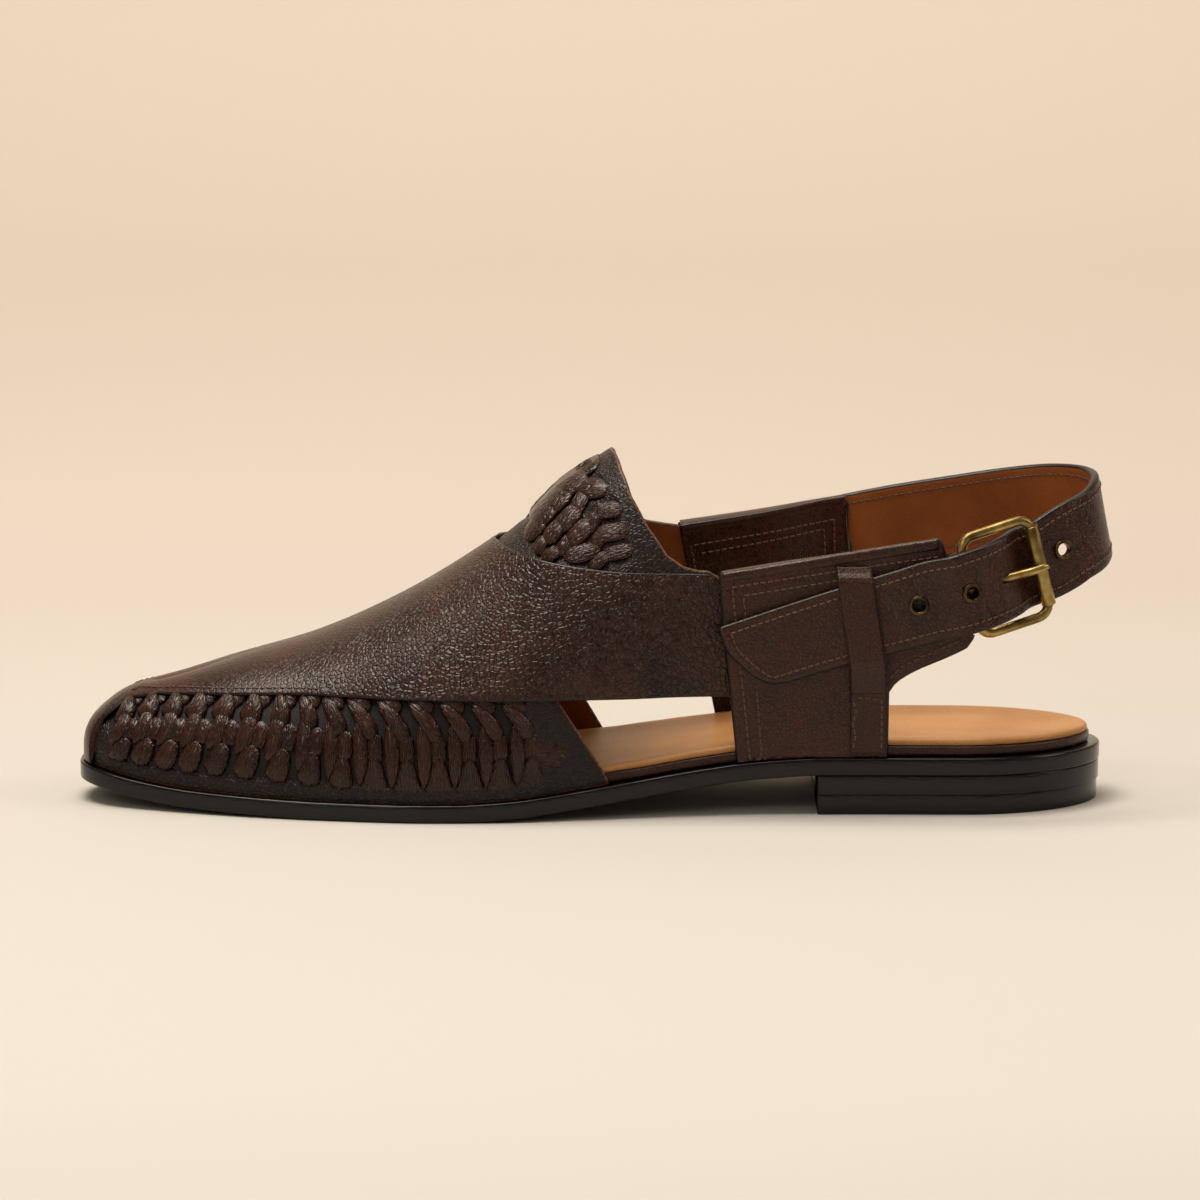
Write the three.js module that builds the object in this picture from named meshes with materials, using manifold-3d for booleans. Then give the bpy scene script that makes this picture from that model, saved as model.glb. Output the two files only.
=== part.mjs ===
import * as THREE from 'three';
import { mergeVertices } from 'three/addons/utils/BufferGeometryUtils.js';
import Module from 'manifold-3d';

const wasm = await Module();
wasm.setup();

// A left peshawari chappal: a woven closed toe under a smooth saddle, open sides and a buckled heel strap.
// X runs from the toe to the heel, Y from the outer to the inner side, Z up from the floor. Millimetres.

// Sole and heel
const LENGTH = 306;
const BALL_HALF = 49.2;
const HEEL_HALF = 35.2;
const OUTSOLE_THICKNESS = 5.3;
const TOE_SPRING = 6.4;
const HEEL_LENGTH = 85.6;
const HEEL_HEIGHT = 11.7;
const TOP_PIECE_THICKNESS = 6;
const HEEL_TAPER = 1;
const TOE_BLUNTNESS = 20;
const HEEL_ROUNDNESS = 40;
const EDGE_BEVEL = 0.6;

// Footbed
const RIM_THICKNESS = 2.8;
const INSOLE_THICKNESS = 1.8;
const INSOLE_INSET = 0.6;
const INSOLE_DISH = 0.8;

// Leather
const GAP = 0.3;
const WALL = 1.6;
const STRIP_RISE = 1;
const SADDLE_THICKNESS = 1.2;
const QUARTER_THICKNESS = 2;
const FACING_THICKNESS = 0.9;
const EDGE_ROLL = 2;
const STRAP_THICKNESS = 2.6;
const STRAP_WIDTH = 23;
const KEEPER_THICKNESS = 1.2;
const KEEPER_WIDTH = 10.6;
const TAB_LEATHER = 0.85;
const TAB_WIDTH = 21.6;

// Upper
const INSTEP_HEIGHT = 105;
const FOREFOOT_LEDGE = 2.5;
const BAND_TOP = 36.2;
const COLLAR_HEIGHT = 72;
const WEAVE_PITCH = 9.4;
const HEEL_STRAP_HEIGHT = 84.9;

// Buckle
const WIRE = 2.9;
const BUCKLE_WIDTH = 30;
const BUCKLE_REACH = 23;
const ROLLER_DIAMETER = 4.3;
const ROLLER_LENGTH = 24.5;
const PRONG_DIAMETER = 2.5;
const PRONG_PLACE = 13;
const EYELET_DIAMETER = 6;
const EYELET_HOLE = 5.2;
const EYELET_BORE = 3.7;
const EYELET_FLANGE = 0.5;

const { clamp, degToRad, lerp, smoothstep } = THREE.MathUtils;
const point = (x, y, z) => new THREE.Vector3(x, y, z);
const moved = (from, along, distance) => from.clone().addScaledVector(along, distance);
const steps = (count, from, to, value) => (
  Array.from({ length: count + 1 }, (_, i) => value(lerp(from, to, i / count)))
);

// The value at a place of a size that may change along the shoe
const valueAt = (size, x) => (typeof size === 'function' ? size(x) : size);

// A smooth curve through the rows of a table that never swings past them
function through(rows, column) {
  const gaps = rows.slice(1).map((row, i) => row.at - rows[i].at);
  const slopes = gaps.map((gap, i) => (rows[i + 1][column] - rows[i][column]) / gap);
  const tangents = rows.map((_, i) => {
    if (i === 0) return slopes[0];
    if (i === slopes.length) return slopes[i - 1];
    const product = slopes[i - 1] * slopes[i];
    return product > 0 ? (2 * product) / (slopes[i - 1] + slopes[i]) : 0;
  });
  return (wanted) => {
    const at = clamp(wanted, rows[0].at, rows.at(-1).at);
    const i = Math.max(rows.findIndex((row) => row.at >= at) - 1, 0);
    const t = (at - rows[i].at) / gaps[i];
    const bend = gaps[i] * t * (1 - t) * (tangents[i] * (1 - t) - tangents[i + 1] * t);
    return lerp(rows[i][column], rows[i + 1][column], t * t * (3 - 2 * t)) + bend;
  };
}

// Solids

function solidOf(geometry) {
  const bare = geometry.clone();
  bare.deleteAttribute('normal');
  bare.deleteAttribute('uv');
  const merged = mergeVertices(bare, 1e-4);
  const corners = merged.attributes.position.array;
  const index = merged.index.array;
  const triangles = [];
  let volume = 0;
  for (let i = 0; i < index.length; i += 3) {
    const [a, b, c] = index.slice(i, i + 3);
    if (a === b || b === c || c === a) continue;
    triangles.push([a, b, c]);
    const [p, q, r] = [a, b, c].map((k) => new THREE.Vector3().fromArray(corners, 3 * k));
    volume += p.dot(q.cross(r));
  }
  const outward = volume > 0 ? triangles : triangles.map(([a, b, c]) => [a, c, b]);
  return new wasm.Manifold(new wasm.Mesh({
    numProp: 3,
    vertProperties: new Float32Array(corners),
    triVerts: new Uint32Array(outward.flat()),
  }));
}

function solidFrom(points, faces) {
  const geometry = new THREE.BufferGeometry().setFromPoints(points);
  geometry.setIndex(faces.flatMap(([a, b, c, d]) => [a, b, c, a, c, d]));
  return solidOf(geometry);
}

// A wall between two sheets of points, closed all round its border
function wall(outer, inner) {
  const rows = outer.length;
  const columns = outer[0].length;
  const place = (sheet, i, j) => (sheet * rows + i) * columns + j;
  const faces = [];
  for (let i = 0; i + 1 < rows; i += 1) {
    for (let j = 0; j + 1 < columns; j += 1) {
      faces.push([place(0, i, j), place(0, i + 1, j), place(0, i + 1, j + 1), place(0, i, j + 1)]);
      faces.push([place(1, i, j), place(1, i, j + 1), place(1, i + 1, j + 1), place(1, i + 1, j)]);
    }
    const last = columns - 1;
    faces.push([place(0, i, 0), place(1, i, 0), place(1, i + 1, 0), place(0, i + 1, 0)]);
    faces.push([place(0, i, last), place(0, i + 1, last), place(1, i + 1, last), place(1, i, last)]);
  }
  for (let j = 0; j + 1 < columns; j += 1) {
    const last = rows - 1;
    faces.push([place(0, 0, j), place(0, 0, j + 1), place(1, 0, j + 1), place(1, 0, j)]);
    faces.push([place(0, last, j), place(1, last, j), place(1, last, j + 1), place(0, last, j + 1)]);
  }
  return { points: [...outer.flat(), ...inner.flat()], faces };
}

function wallSolid(outer, inner) {
  const { points, faces } = wall(outer, inner);
  return solidFrom(points, faces);
}

// A bar whose sections follow one another, closed at both ends; a hollow section needs its own caps
function bar(sections, caps) {
  const count = sections[0].length;
  const fan = Array.from({ length: count - 2 }, (_, k) => [0, k + 1, k + 2]);
  const faces = [];
  for (let s = 0; s + 1 < sections.length; s += 1) {
    for (let k = 0; k < count; k += 1) {
      const next = (k + 1) % count;
      const [a, b] = [s * count, (s + 1) * count];
      faces.push([a + k, a + next, b + next, b + k]);
    }
  }
  const end = (sections.length - 1) * count;
  for (const [a, b, c] of caps ?? fan) {
    faces.push([a, c, b, b]);
    faces.push([end + a, end + b, end + c, end + c]);
  }
  return solidFrom(sections.flat(), faces);
}

// A slab whose rings run round the shoe, each ring a list of points on either side
function slab(rings) {
  const loops = rings.map(({ outer, inner }) => [...outer, ...inner.toReversed()]);
  const count = loops[0].length;
  const half = count / 2;
  const faces = [];
  for (let r = 0; r + 1 < loops.length; r += 1) {
    for (let k = 0; k < count; k += 1) {
      const next = (k + 1) % count;
      const [a, b] = [r * count, (r + 1) * count];
      faces.push([a + k, a + next, b + next, b + k]);
    }
  }
  const top = (loops.length - 1) * count;
  for (let k = 0; k + 1 < half; k += 1) {
    const across = count - 1 - k;
    faces.push([top + k, top + k + 1, top + across - 1, top + across]);
    faces.push([k, across, across - 1, k + 1]);
  }
  return solidFrom(loops.flat(), faces);
}

// A prism right across the shoe, from an outline in side view
function sidePrism(outline, from, to) {
  const shape = new THREE.Shape(outline.map(([x, z]) => new THREE.Vector2(x, z)));
  const geometry = new THREE.ExtrudeGeometry(shape, { depth: to - from, bevelEnabled: false });
  return solidOf(geometry.rotateX(Math.PI / 2).translate(0, to, 0));
}

// A pin along a direction, centred on a point
function pin(centre, direction, radius, length, sides = 16) {
  const geometry = new THREE.CylinderGeometry(radius, radius, length, sides);
  const turn = new THREE.Quaternion().setFromUnitVectors(point(0, 1, 0), direction.clone().normalize());
  return solidOf(geometry.applyQuaternion(turn).translate(centre.x, centre.y, centre.z));
}

const group = new THREE.Group();

function addPiece(name, solid, { color, roughness = 0.6, metalness = 0 }) {
  const { vertProperties, triVerts } = solid.getMesh();
  const geometry = new THREE.BufferGeometry();
  geometry.setAttribute('position', new THREE.BufferAttribute(vertProperties, 3));
  geometry.setIndex(new THREE.BufferAttribute(triVerts, 1));
  geometry.computeVertexNormals();
  const material = new THREE.MeshStandardMaterial({ color, roughness, metalness });
  const mesh = new THREE.Mesh(geometry, material);
  mesh.name = name;
  group.add(mesh);
  return mesh;
}

const DARK_LEATHER = { color: 0x2e1b17, roughness: 0.5 };
const SOLE_EDGE = { color: 0x0f0d0d, roughness: 0.35 };
const TAN_LEATHER = { color: 0xb9783f, roughness: 0.6 };
const BRASS = { color: 0x9c7a3a, roughness: 0.35, metalness: 1 };

// Sole

const BREAST = LENGTH - HEEL_LENGTH;

// Half widths at shares of the length, as shares of the half width at the ball or the heel
const SOLE_PLAN = [
  { at: 0, half: BALL_HALF, outer: 0.356, inner: 0.356 },
  { at: 0.046, half: BALL_HALF, outer: 0.476, inner: 0.48 },
  { at: 0.098, half: BALL_HALF, outer: 0.62, inner: 0.64 },
  { at: 0.18, half: BALL_HALF, outer: 0.805, inner: 0.843 },
  { at: 0.262, half: BALL_HALF, outer: 0.927, inner: 0.976 },
  { at: 0.344, half: BALL_HALF, outer: 0.996, inner: 1.006 },
  { at: 0.41, half: BALL_HALF, outer: 0.988, inner: 0.945 },
  { at: 0.491, half: BALL_HALF, outer: 0.902, inner: 0.813 },
  { at: 0.573, half: HEEL_HALF, outer: 1.114, inner: 0.98 },
  { at: 0.655, half: HEEL_HALF, outer: 1.017, inner: 0.938 },
  { at: 0.754, half: HEEL_HALF, outer: 0.989, inner: 0.966 },
  { at: 0.868, half: HEEL_HALF, outer: 1, inner: 0.955 },
  { at: 1, half: HEEL_HALF, outer: 0.98, inner: 0.93 },
].map(({ at, half, outer, inner }) => ({ at: at * LENGTH, outer: half * outer, inner: half * inner }));

const bodyWidth = { outer: through(SOLE_PLAN, 'outer'), inner: through(SOLE_PLAN, 'inner') };

// How full the outline is at a share of the way into a rounded end
const rounded = (share, power) => (1 - (1 - clamp(share, 0, 1)) ** power) ** (1 / power);

function halfWidth(x, side, inset) {
  const width = bodyWidth[side < 0 ? 'outer' : 'inner'];
  const slope = (width(x + 1) - width(x - 1)) / 2;
  const body = width(x) - inset * Math.hypot(1, slope);
  const toe = rounded((x - inset) / TOE_BLUNTNESS, 3);
  const heel = rounded((LENGTH - inset - x) / HEEL_ROUNDNESS, 1.9);
  return Math.max(body, 0) * toe * heel;
}

// The underside rises to the toe and, behind the ball, over the shank to the heel
const FOREFOOT_FLAT = { from: 0.305 * LENGTH, to: 0.377 * LENGTH };
const TOE_RISE = through([
  { at: 0, rise: 1 },
  { at: 0.074, rise: 0.82 },
  { at: 0.147, rise: 0.61 },
  { at: 0.232, rise: 0.42 },
  { at: 0.368, rise: 0.219 },
  { at: 0.579, rise: 0.094 },
  { at: 0.789, rise: 0.02 },
  { at: 1, rise: 0 },
], 'rise');
const SHANK_RISE = through([
  { at: 0, rise: 0 },
  { at: 0.143, rise: 0.085 },
  { at: 0.296, rise: 0.248 },
  { at: 0.44, rise: 0.436 },
  { at: 0.669, rise: 0.744 },
  { at: 0.832, rise: 0.915 },
  { at: 0.98, rise: 1 },
], 'rise');

function underside(x) {
  const toe = TOE_RISE(x / FOREFOOT_FLAT.from);
  const shank = SHANK_RISE((x - FOREFOOT_FLAT.to) / (BREAST - FOREFOOT_FLAT.to));
  return toe * TOE_SPRING + shank * HEEL_HEIGHT;
}

const soleTop = (x) => underside(x) + OUTSOLE_THICKNESS;

// Places along a slab, crowded where its outline turns round an end, as shares of its length
const WHOLE_SOLE = [
  ...steps(24, 0, 1, (t) => (1 - Math.cos(Math.PI * t)) / 2),
  FOREFOOT_FLAT.from / LENGTH,
  FOREFOOT_FLAT.to / LENGTH,
  BREAST / LENGTH,
].sort((a, b) => a - b);
const HEEL_ONLY = steps(16, 0, 1, (t) => Math.sin((Math.PI * t) / 2));

// One ring of a slab: the sole's outline, drawn in by an inset, at a height over its length
function ring(inset, height, from = 0) {
  const [front, back] = [Math.max(from, valueAt(inset, 0)), LENGTH - valueAt(inset, LENGTH)];
  const row = (side) => (from === 0 ? WHOLE_SOLE : HEEL_ONLY).map((share) => {
    const x = lerp(front, back, share);
    return point(x, side * halfWidth(x, side, valueAt(inset, x)), height(x));
  });
  return { outer: row(-1), inner: row(1) };
}

function outsole() {
  return slab([
    ring(EDGE_BEVEL, underside),
    ring(0, (x) => underside(x) + EDGE_BEVEL),
    ring(0, (x) => soleTop(x) - EDGE_BEVEL),
    ring(EDGE_BEVEL, soleTop),
  ]);
}

function heelLayer(bottom, top) {
  const inset = (z) => HEEL_TAPER * (1 - z / HEEL_HEIGHT);
  return slab([
    ring(inset(bottom), () => bottom, BREAST),
    ring(inset(top), () => top, BREAST),
  ]);
}

// Footbed, drawn in under the upper at the front and flush with its rim behind the open sides
const OPENING_BOTTOM = 0.517 * LENGTH;
const QUARTER_LEDGE = FOREFOOT_LEDGE + 2.2;
const ledge = (x) => lerp(FOREFOOT_LEDGE, QUARTER_LEDGE, smoothstep(x, 0.53 * LENGTH, 0.59 * LENGTH));
const FRONT_RIM = FOREFOOT_LEDGE + WALL + 2 * GAP;
const REAR_RIM = QUARTER_LEDGE - GAP - SADDLE_THICKNESS;
const rimInset = (x) => lerp(FRONT_RIM, REAR_RIM, smoothstep(x, OPENING_BOTTOM + 2, OPENING_BOTTOM + 12));

function footbedRim() {
  const bottom = (x) => soleTop(x) + GAP;
  return slab([
    ring(rimInset, bottom),
    ring(rimInset, (x) => bottom(x) + RIM_THICKNESS - EDGE_BEVEL),
    ring((x) => rimInset(x) + EDGE_BEVEL, (x) => bottom(x) + RIM_THICKNESS),
  ]);
}

const insoleTop = (x) => soleTop(x) + GAP + RIM_THICKNESS + GAP + INSOLE_THICKNESS;

function insole() {
  const inset = (extra) => (x) => rimInset(x) + INSOLE_INSET + extra;
  return slab([
    ring(inset(0), (x) => insoleTop(x) - INSOLE_THICKNESS),
    ring(inset(0), (x) => insoleTop(x) - EDGE_BEVEL),
    ring(inset(EDGE_BEVEL), insoleTop),
    ring(inset(8), (x) => insoleTop(x) - INSOLE_DISH),
  ]);
}

// Last

const BALL_LEAN = 0.05 * BALL_HALF;

// The ridge of the last: its height as a share of the instep, its lean to the inner side,
// and how square the ribs that reach it are
const RIDGE = [
  { at: 0.079, height: 0.316, lean: 0, fullness: 2.03 },
  { at: 0.114, height: 0.347, lean: 0.1, fullness: 2.08 },
  { at: 0.155, height: 0.388, lean: 0.3, fullness: 2.15 },
  { at: 0.234, height: 0.456, lean: 0.8, fullness: 2.2 },
  { at: 0.312, height: 0.556, lean: 1, fullness: 2.2 },
  { at: 0.391, height: 0.693, lean: 1, fullness: 2.2 },
  { at: 0.43, height: 0.779, lean: 1, fullness: 2.2 },
  { at: 0.469, height: 0.895, lean: 1, fullness: 2.2 },
  { at: 0.52, height: 0.997, lean: 1, fullness: 2.25 },
  { at: 0.573, height: 1.1, lean: 0.8, fullness: 2.4 },
  { at: 0.655, height: 1.34, lean: 0.4, fullness: 2.65 },
  { at: 0.754, height: 1.57, lean: 0, fullness: 2.8 },
  { at: 1, height: 1.9, lean: 0, fullness: 2.8 },
].map(({ at, height, lean, fullness }) => (
  { at: at * LENGTH, height: height * INSTEP_HEIGHT, lean: lean * BALL_LEAN, fullness }
));

const ridgeHeight = through(RIDGE, 'height');
const ridgeLean = through(RIDGE, 'lean');
const ribFullness = through(RIDGE, 'fullness');

// Ribs fan out over the toe: their tops lie further back than their feet
const FAN_LENGTH = 0.229 * LENGTH;
const FAN_LEAD = 0.079 * LENGTH;
const TOE = FOREFOOT_LEDGE;

// The wall swells out a little over its foot, most at the toe, as a share of the rib's reach
const TOE_SWELL = 0.045;
const SWELL_END = degToRad(50);

// The foot of a rib clears the sole also where a layer drawn over the rib leans out past it
const clearOfSole = (x) => Math.max(soleTop(x - FOREFOOT_LEDGE), soleTop(x + FOREFOOT_LEDGE)) + GAP;

function rib(x, side) {
  const lead = FAN_LEAD * Math.max(1 - x / FAN_LENGTH, 0) ** 1.5;
  const top = x + lead;
  return {
    foot: point(x, side * halfWidth(x, side, ledge(x)), clearOfSole(x)),
    top: point(top, ridgeLean(top), ridgeHeight(top)),
    fullness: ribFullness(top),
    swell: TOE_SWELL * Math.max(1 - x / FAN_LENGTH, 0.3),
  };
}

// A point of the last: v runs from -1 at the outer sole over the ridge at 0 to 1 at the inner sole.
// In front of the toe the ribs fold back on themselves.
function last(x, v) {
  if (x < TOE) return last(2 * TOE - x, -v);
  const { foot, top, fullness, swell } = rib(x, v < 0 ? -1 : 1);
  const turn = (1 - Math.abs(v)) * (Math.PI / 2);
  const over = Math.sin(Math.PI * Math.min(turn / SWELL_END, 1)) ** 2;
  const out = Math.cos(turn) ** (2 / fullness) + swell * over;
  const up = Math.sin(turn) ** (2 / fullness);
  return point(lerp(top.x, foot.x, out), lerp(top.y, foot.y, out), lerp(foot.z, top.z, up));
}

function lastNormal(x, v) {
  const [dx, dv] = [0.5, 0.01];
  const around = last(x, Math.min(v + dv, 1)).sub(last(x, Math.max(v - dv, -1)));
  const along = last(x + dx, v).sub(last(x - dx, v));
  const normal = along.cross(around);
  if (normal.length() > 1e-6) return normal.normalize();
  return last(x + dx, v).sub(last(x, v)).cross(point(0, 1, 0)).normalize();
}

const drawn = (x, v, offset) => moved(last(x, v), lastNormal(x, v), offset);

// The v at which a rib passes a height
function around(x, side, z) {
  const { foot, top, fullness } = rib(x, side);
  const up = clamp((z - foot.z) / (top.z - foot.z), 0, 1);
  return side * (1 - Math.asin(up ** (fullness / 2)) / (Math.PI / 2));
}

const onSide = (x, side, z, offset) => drawn(x, around(x, side, z), offset);

// Offsets of each layer from the last
const SADDLE_IN = GAP;
const SADDLE_OUT = SADDLE_IN + SADDLE_THICKNESS;
const QUARTER_IN = SADDLE_OUT + GAP;
const QUARTER_OUT = QUARTER_IN + QUARTER_THICKNESS;
const STRAP_IN = QUARTER_OUT + GAP;
const STRAP_OUT = STRAP_IN + STRAP_THICKNESS;

// Ribs along the upper, crowded at the toe, and columns round it from sole to sole
const SIDE_END = 0.668 * LENGTH;
const UPPER_RIBS = steps(18, 0, 1, (t) => lerp(TOE, SIDE_END, t ** 1.6));
const AROUND_COUNT = 14;
const SIDE_COUNT = 5;

// A shell between two offsets of the last, over both sides or up one of them
function shell({ inside, outside, ribs, side = 0 }) {
  const columns = side === 0 ? AROUND_COUNT : SIDE_COUNT;
  const start = side > 0 ? 1 - (2 * SIDE_COUNT) / AROUND_COUNT : -1;
  const sheet = (offset) => ribs.map((x) => (
    steps(columns, start, start + (2 * columns) / AROUND_COUNT, (v) => drawn(x, v, valueAt(offset, x)))
  ));
  return { outer: sheet(outside), inner: sheet(inside) };
}

// A shell that closes over the toe: its first rib is folded, so no border face is left there
function toeShell(inside, outside) {
  const { outer, inner } = shell({ inside, outside, ribs: UPPER_RIBS });
  const { points, faces } = wall(outer, inner);
  const columns = outer[0].length;
  const folded = (face) => face.every((k) => k % (points.length / 2) < columns);
  return solidFrom(points, faces.filter((face) => !folded(face)));
}

// Upper

const OUTSIDE = 2 * BALL_HALF;
const SKY = 3 * INSTEP_HEIGHT;

// Lower edge of the saddle in side view; it drops round the toe to the sole
const SADDLE_EDGE = [
  { at: 0.013, height: 0.36 },
  { at: 0.0136, height: 0.55 },
  { at: 0.0222, height: 0.69 },
  { at: 0.0337, height: 0.77 },
  { at: 0.0516, height: 0.87 },
  { at: 0.084, height: 0.923 },
  { at: 0.15, height: 0.961 },
  { at: 0.24, height: 1 },
  { at: 0.45, height: 1 },
  { at: 0.64, height: 0.99 },
  { at: 0.68, height: 0.99 },
].map(({ at, height }) => ({ at: at * LENGTH, height: height * BAND_TOP }));
const saddleEdge = through(SADDLE_EDGE, 'height');

// Tongue and collar line in side view, on the outer and the inner side
const COLLAR = {
  outer: [
    { at: 0.5185, height: 1.02 },
    { at: 0.5285, height: 0.957 },
    { at: 0.538, height: 0.891 },
    { at: 0.553, height: 0.815 },
    { at: 0.573, height: 0.73 },
    { at: 0.59, height: 0.695 },
    { at: 0.605, height: 0.684 },
    { at: 0.613, height: 0.684 },
    { at: 0.6265, height: 0.66 },
    { at: 0.7, height: 0.66 },
  ],
  inner: [
    { at: 0.5185, height: 1.02 },
    { at: 0.524, height: 0.953 },
    { at: 0.532, height: 0.88 },
    { at: 0.541, height: 0.8 },
    { at: 0.553, height: 0.757 },
    { at: 0.587, height: 0.742 },
    { at: 0.596, height: 0.715 },
    { at: 0.7, height: 0.715 },
  ],
};

const sideLine = (rows, length, height) => rows.map((row) => [row.at * length, row.height * height]);

function collarCutter(side) {
  const line = sideLine(side < 0 ? COLLAR.outer : COLLAR.inner, LENGTH, INSTEP_HEIGHT);
  const outline = [...line, [LENGTH, line.at(-1)[1]], [LENGTH, SKY], [line[0][0], SKY]];
  return side < 0 ? sidePrism(outline, -OUTSIDE, 0) : sidePrism(outline, 0, OUTSIDE);
}

// The open side between the woven band, the saddle and the sole
const OPENING_TOP = 0.466 * LENGTH;
function openingCutter() {
  return sidePrism([
    [OPENING_TOP, BAND_TOP],
    [OPENING_BOTTOM, soleTop(OPENING_BOTTOM)],
    [OPENING_BOTTOM, 0],
    [LENGTH, 0],
    [LENGTH, BAND_TOP],
  ], -OUTSIDE, OUTSIDE);
}

// A strip of the weave, a hipped pad on the wall from one place on the last to another
function strip(side, from, to, width, rise) {
  const slant = Math.atan2(to.z - from.z, to.x - from.x);
  const place = (t, s, offset) => {
    const x = lerp(from.x, to.x, t) - Math.sin(slant) * s * width;
    const z = lerp(from.z, to.z, t) + Math.cos(slant) * s * width;
    return onSide(Math.max(x, TOE + 0.3), side, z, offset);
  };
  const corners = [[0, -0.5], [1, -0.5], [1, 0.5], [0, 0.5]];
  const edge = corners.map(([t, s]) => place(t, s, -0.1 * WALL));
  const root = corners.map(([t, s]) => place(t, s, -0.7 * WALL));
  const crown = [place(0.22, 0, rise), place(0.78, 0, rise)];
  const faces = [
    [0, 1, 9, 8], [2, 3, 8, 9], [1, 2, 9, 9], [3, 0, 8, 8], [7, 6, 5, 4],
    [0, 4, 5, 1], [1, 5, 6, 2], [2, 6, 7, 3], [3, 7, 4, 0],
  ];
  return solidFrom([...edge, ...root, ...crown], faces);
}

// Height of the band at a rib, where it meets the saddle's edge
function bandTop(x, side) {
  let [low, high] = [soleTop(x), BAND_TOP];
  for (let i = 0; i < 24; i += 1) {
    const z = (low + high) / 2;
    const met = last(x, around(x, side, z));
    if (met.z < saddleEdge(met.x)) low = z;
    else high = z;
  }
  return low;
}

// One unit of the weave: a slanting top strip, an upright middle one and a tooth of the border,
// in shares of the pitch along the band and of its height
const WEAVE_UNIT = [
  { name: 'top', from: [-0.4, 0.93], to: [0.22, 0.6], width: 0.5, rise: 1 },
  { name: 'middle', from: [0.2, 0.74], to: [-0.08, 0.34], width: 0.4, rise: 0.9 },
  { name: 'tooth', from: [-0.3, 0.5], to: [-0.3, 0.14], width: 0.5, rise: 0.75 },
];

const BAND_FRONT = 0.026 * LENGTH;
const BAND_BACK = 0.472 * LENGTH;

function bandStrips(side) {
  const count = Math.floor((BAND_BACK - BAND_FRONT) / WEAVE_PITCH);
  const strips = [];
  for (let unit = 0; unit < count; unit += 1) {
    const middle = BAND_FRONT + (unit + 0.5) * WEAVE_PITCH;
    for (const { from, to, width, rise } of WEAVE_UNIT) {
      const place = ([along, up]) => {
        const x = middle + along * WEAVE_PITCH;
        const floor = soleTop(x) + GAP;
        return { x, z: lerp(floor, bandTop(x, side), up) };
      };
      strips.push(strip(side, place(from), place(to), width * WEAVE_PITCH, rise * STRIP_RISE));
    }
  }
  return strips;
}

// The woven panel of the tongue: the middle of each strip, its length in pitches and its slant
const TONGUE_WEAVE = [
  { at: 0.454, height: 0.8, long: 1, slant: 40 },
  { at: 0.49, height: 0.95, long: 0.9, slant: 30 },
  { at: 0.473, height: 0.862, long: 1, slant: 48 },
  { at: 0.497, height: 0.905, long: 0.8, slant: 5 },
  { at: 0.464, height: 0.768, long: 0.6, slant: 50 },
  { at: 0.49, height: 0.812, long: 0.8, slant: 42 },
  { at: 0.512, height: 0.852, long: 0.8, slant: 0 },
  { at: 0.49, height: 0.748, long: 1, slant: 15 },
  { at: 0.507, height: 0.792, long: 0.8, slant: 48 },
  { at: 0.527, height: 0.775, long: 0.8, slant: 15 },
  { at: 0.5125, height: 0.731, long: 0.7, slant: 42 },
];
const TONGUE_STRIP = 0.42 * WEAVE_PITCH;

function tongueStrips(side) {
  return TONGUE_WEAVE.map(({ at, height, long, slant }) => {
    const reach = (0.5 * long * WEAVE_PITCH) * Math.cos(degToRad(slant));
    const climb = (0.5 * long * WEAVE_PITCH) * Math.sin(degToRad(slant));
    const [x, z] = [at * LENGTH, height * INSTEP_HEIGHT];
    const [from, to] = [{ x: x - reach, z: z - climb }, { x: x + reach, z: z + climb }];
    return strip(side, from, to, TONGUE_STRIP, STRIP_RISE);
  });
}

// The saddle's outline in side view: its lower edge, then its top edge back over the instep
const SADDLE_TOP = [
  { at: 0.386, height: 0.79 },
  { at: 0.406, height: 0.744 },
  { at: 0.431, height: 0.727 },
  { at: 0.47, height: 0.706 },
  { at: 0.52, height: 0.688 },
  { at: 0.56, height: 0.681 },
  { at: 0.613, height: 0.676 },
  { at: 0.6265, height: 0.655 },
  { at: 0.7, height: 0.655 },
];

function saddlePrism(grow) {
  const lower = steps(30, 0, 1, (t) => {
    const x = lerp(SADDLE_EDGE[0].at, SIDE_END + 5, t * t);
    return [x, saddleEdge(x) - grow];
  });
  const top = sideLine(SADDLE_TOP, LENGTH, INSTEP_HEIGHT).toReversed();
  const front = [[-5, SKY], [-5, 0], [lower[0][0] + grow, 0]];
  return sidePrism([...lower, ...top.map(([x, z]) => [x, z + grow]), ...front], -OUTSIDE, OUTSIDE);
}

function upper() {
  const base = toeShell(-WALL, 0).subtract(openingCutter());
  const open = base.subtract(collarCutter(-1)).subtract(collarCutter(1));
  const strips = [-1, 1].flatMap((side) => [...bandStrips(side), ...tongueStrips(side)]);
  return open.add(wasm.Manifold.union(strips));
}

function saddle() {
  return toeShell(SADDLE_IN, SADDLE_OUT).intersect(saddlePrism(0));
}

// Quarters, side panels from the sole ledge up to the ankle; the outer one runs back to the buckle
const QUARTER_BACK = 0.885 * LENGTH;
const QUARTER_RIBS = [...UPPER_RIBS.slice(-3), ...steps(7, SIDE_END, QUARTER_BACK, (x) => x).slice(1)];

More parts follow.
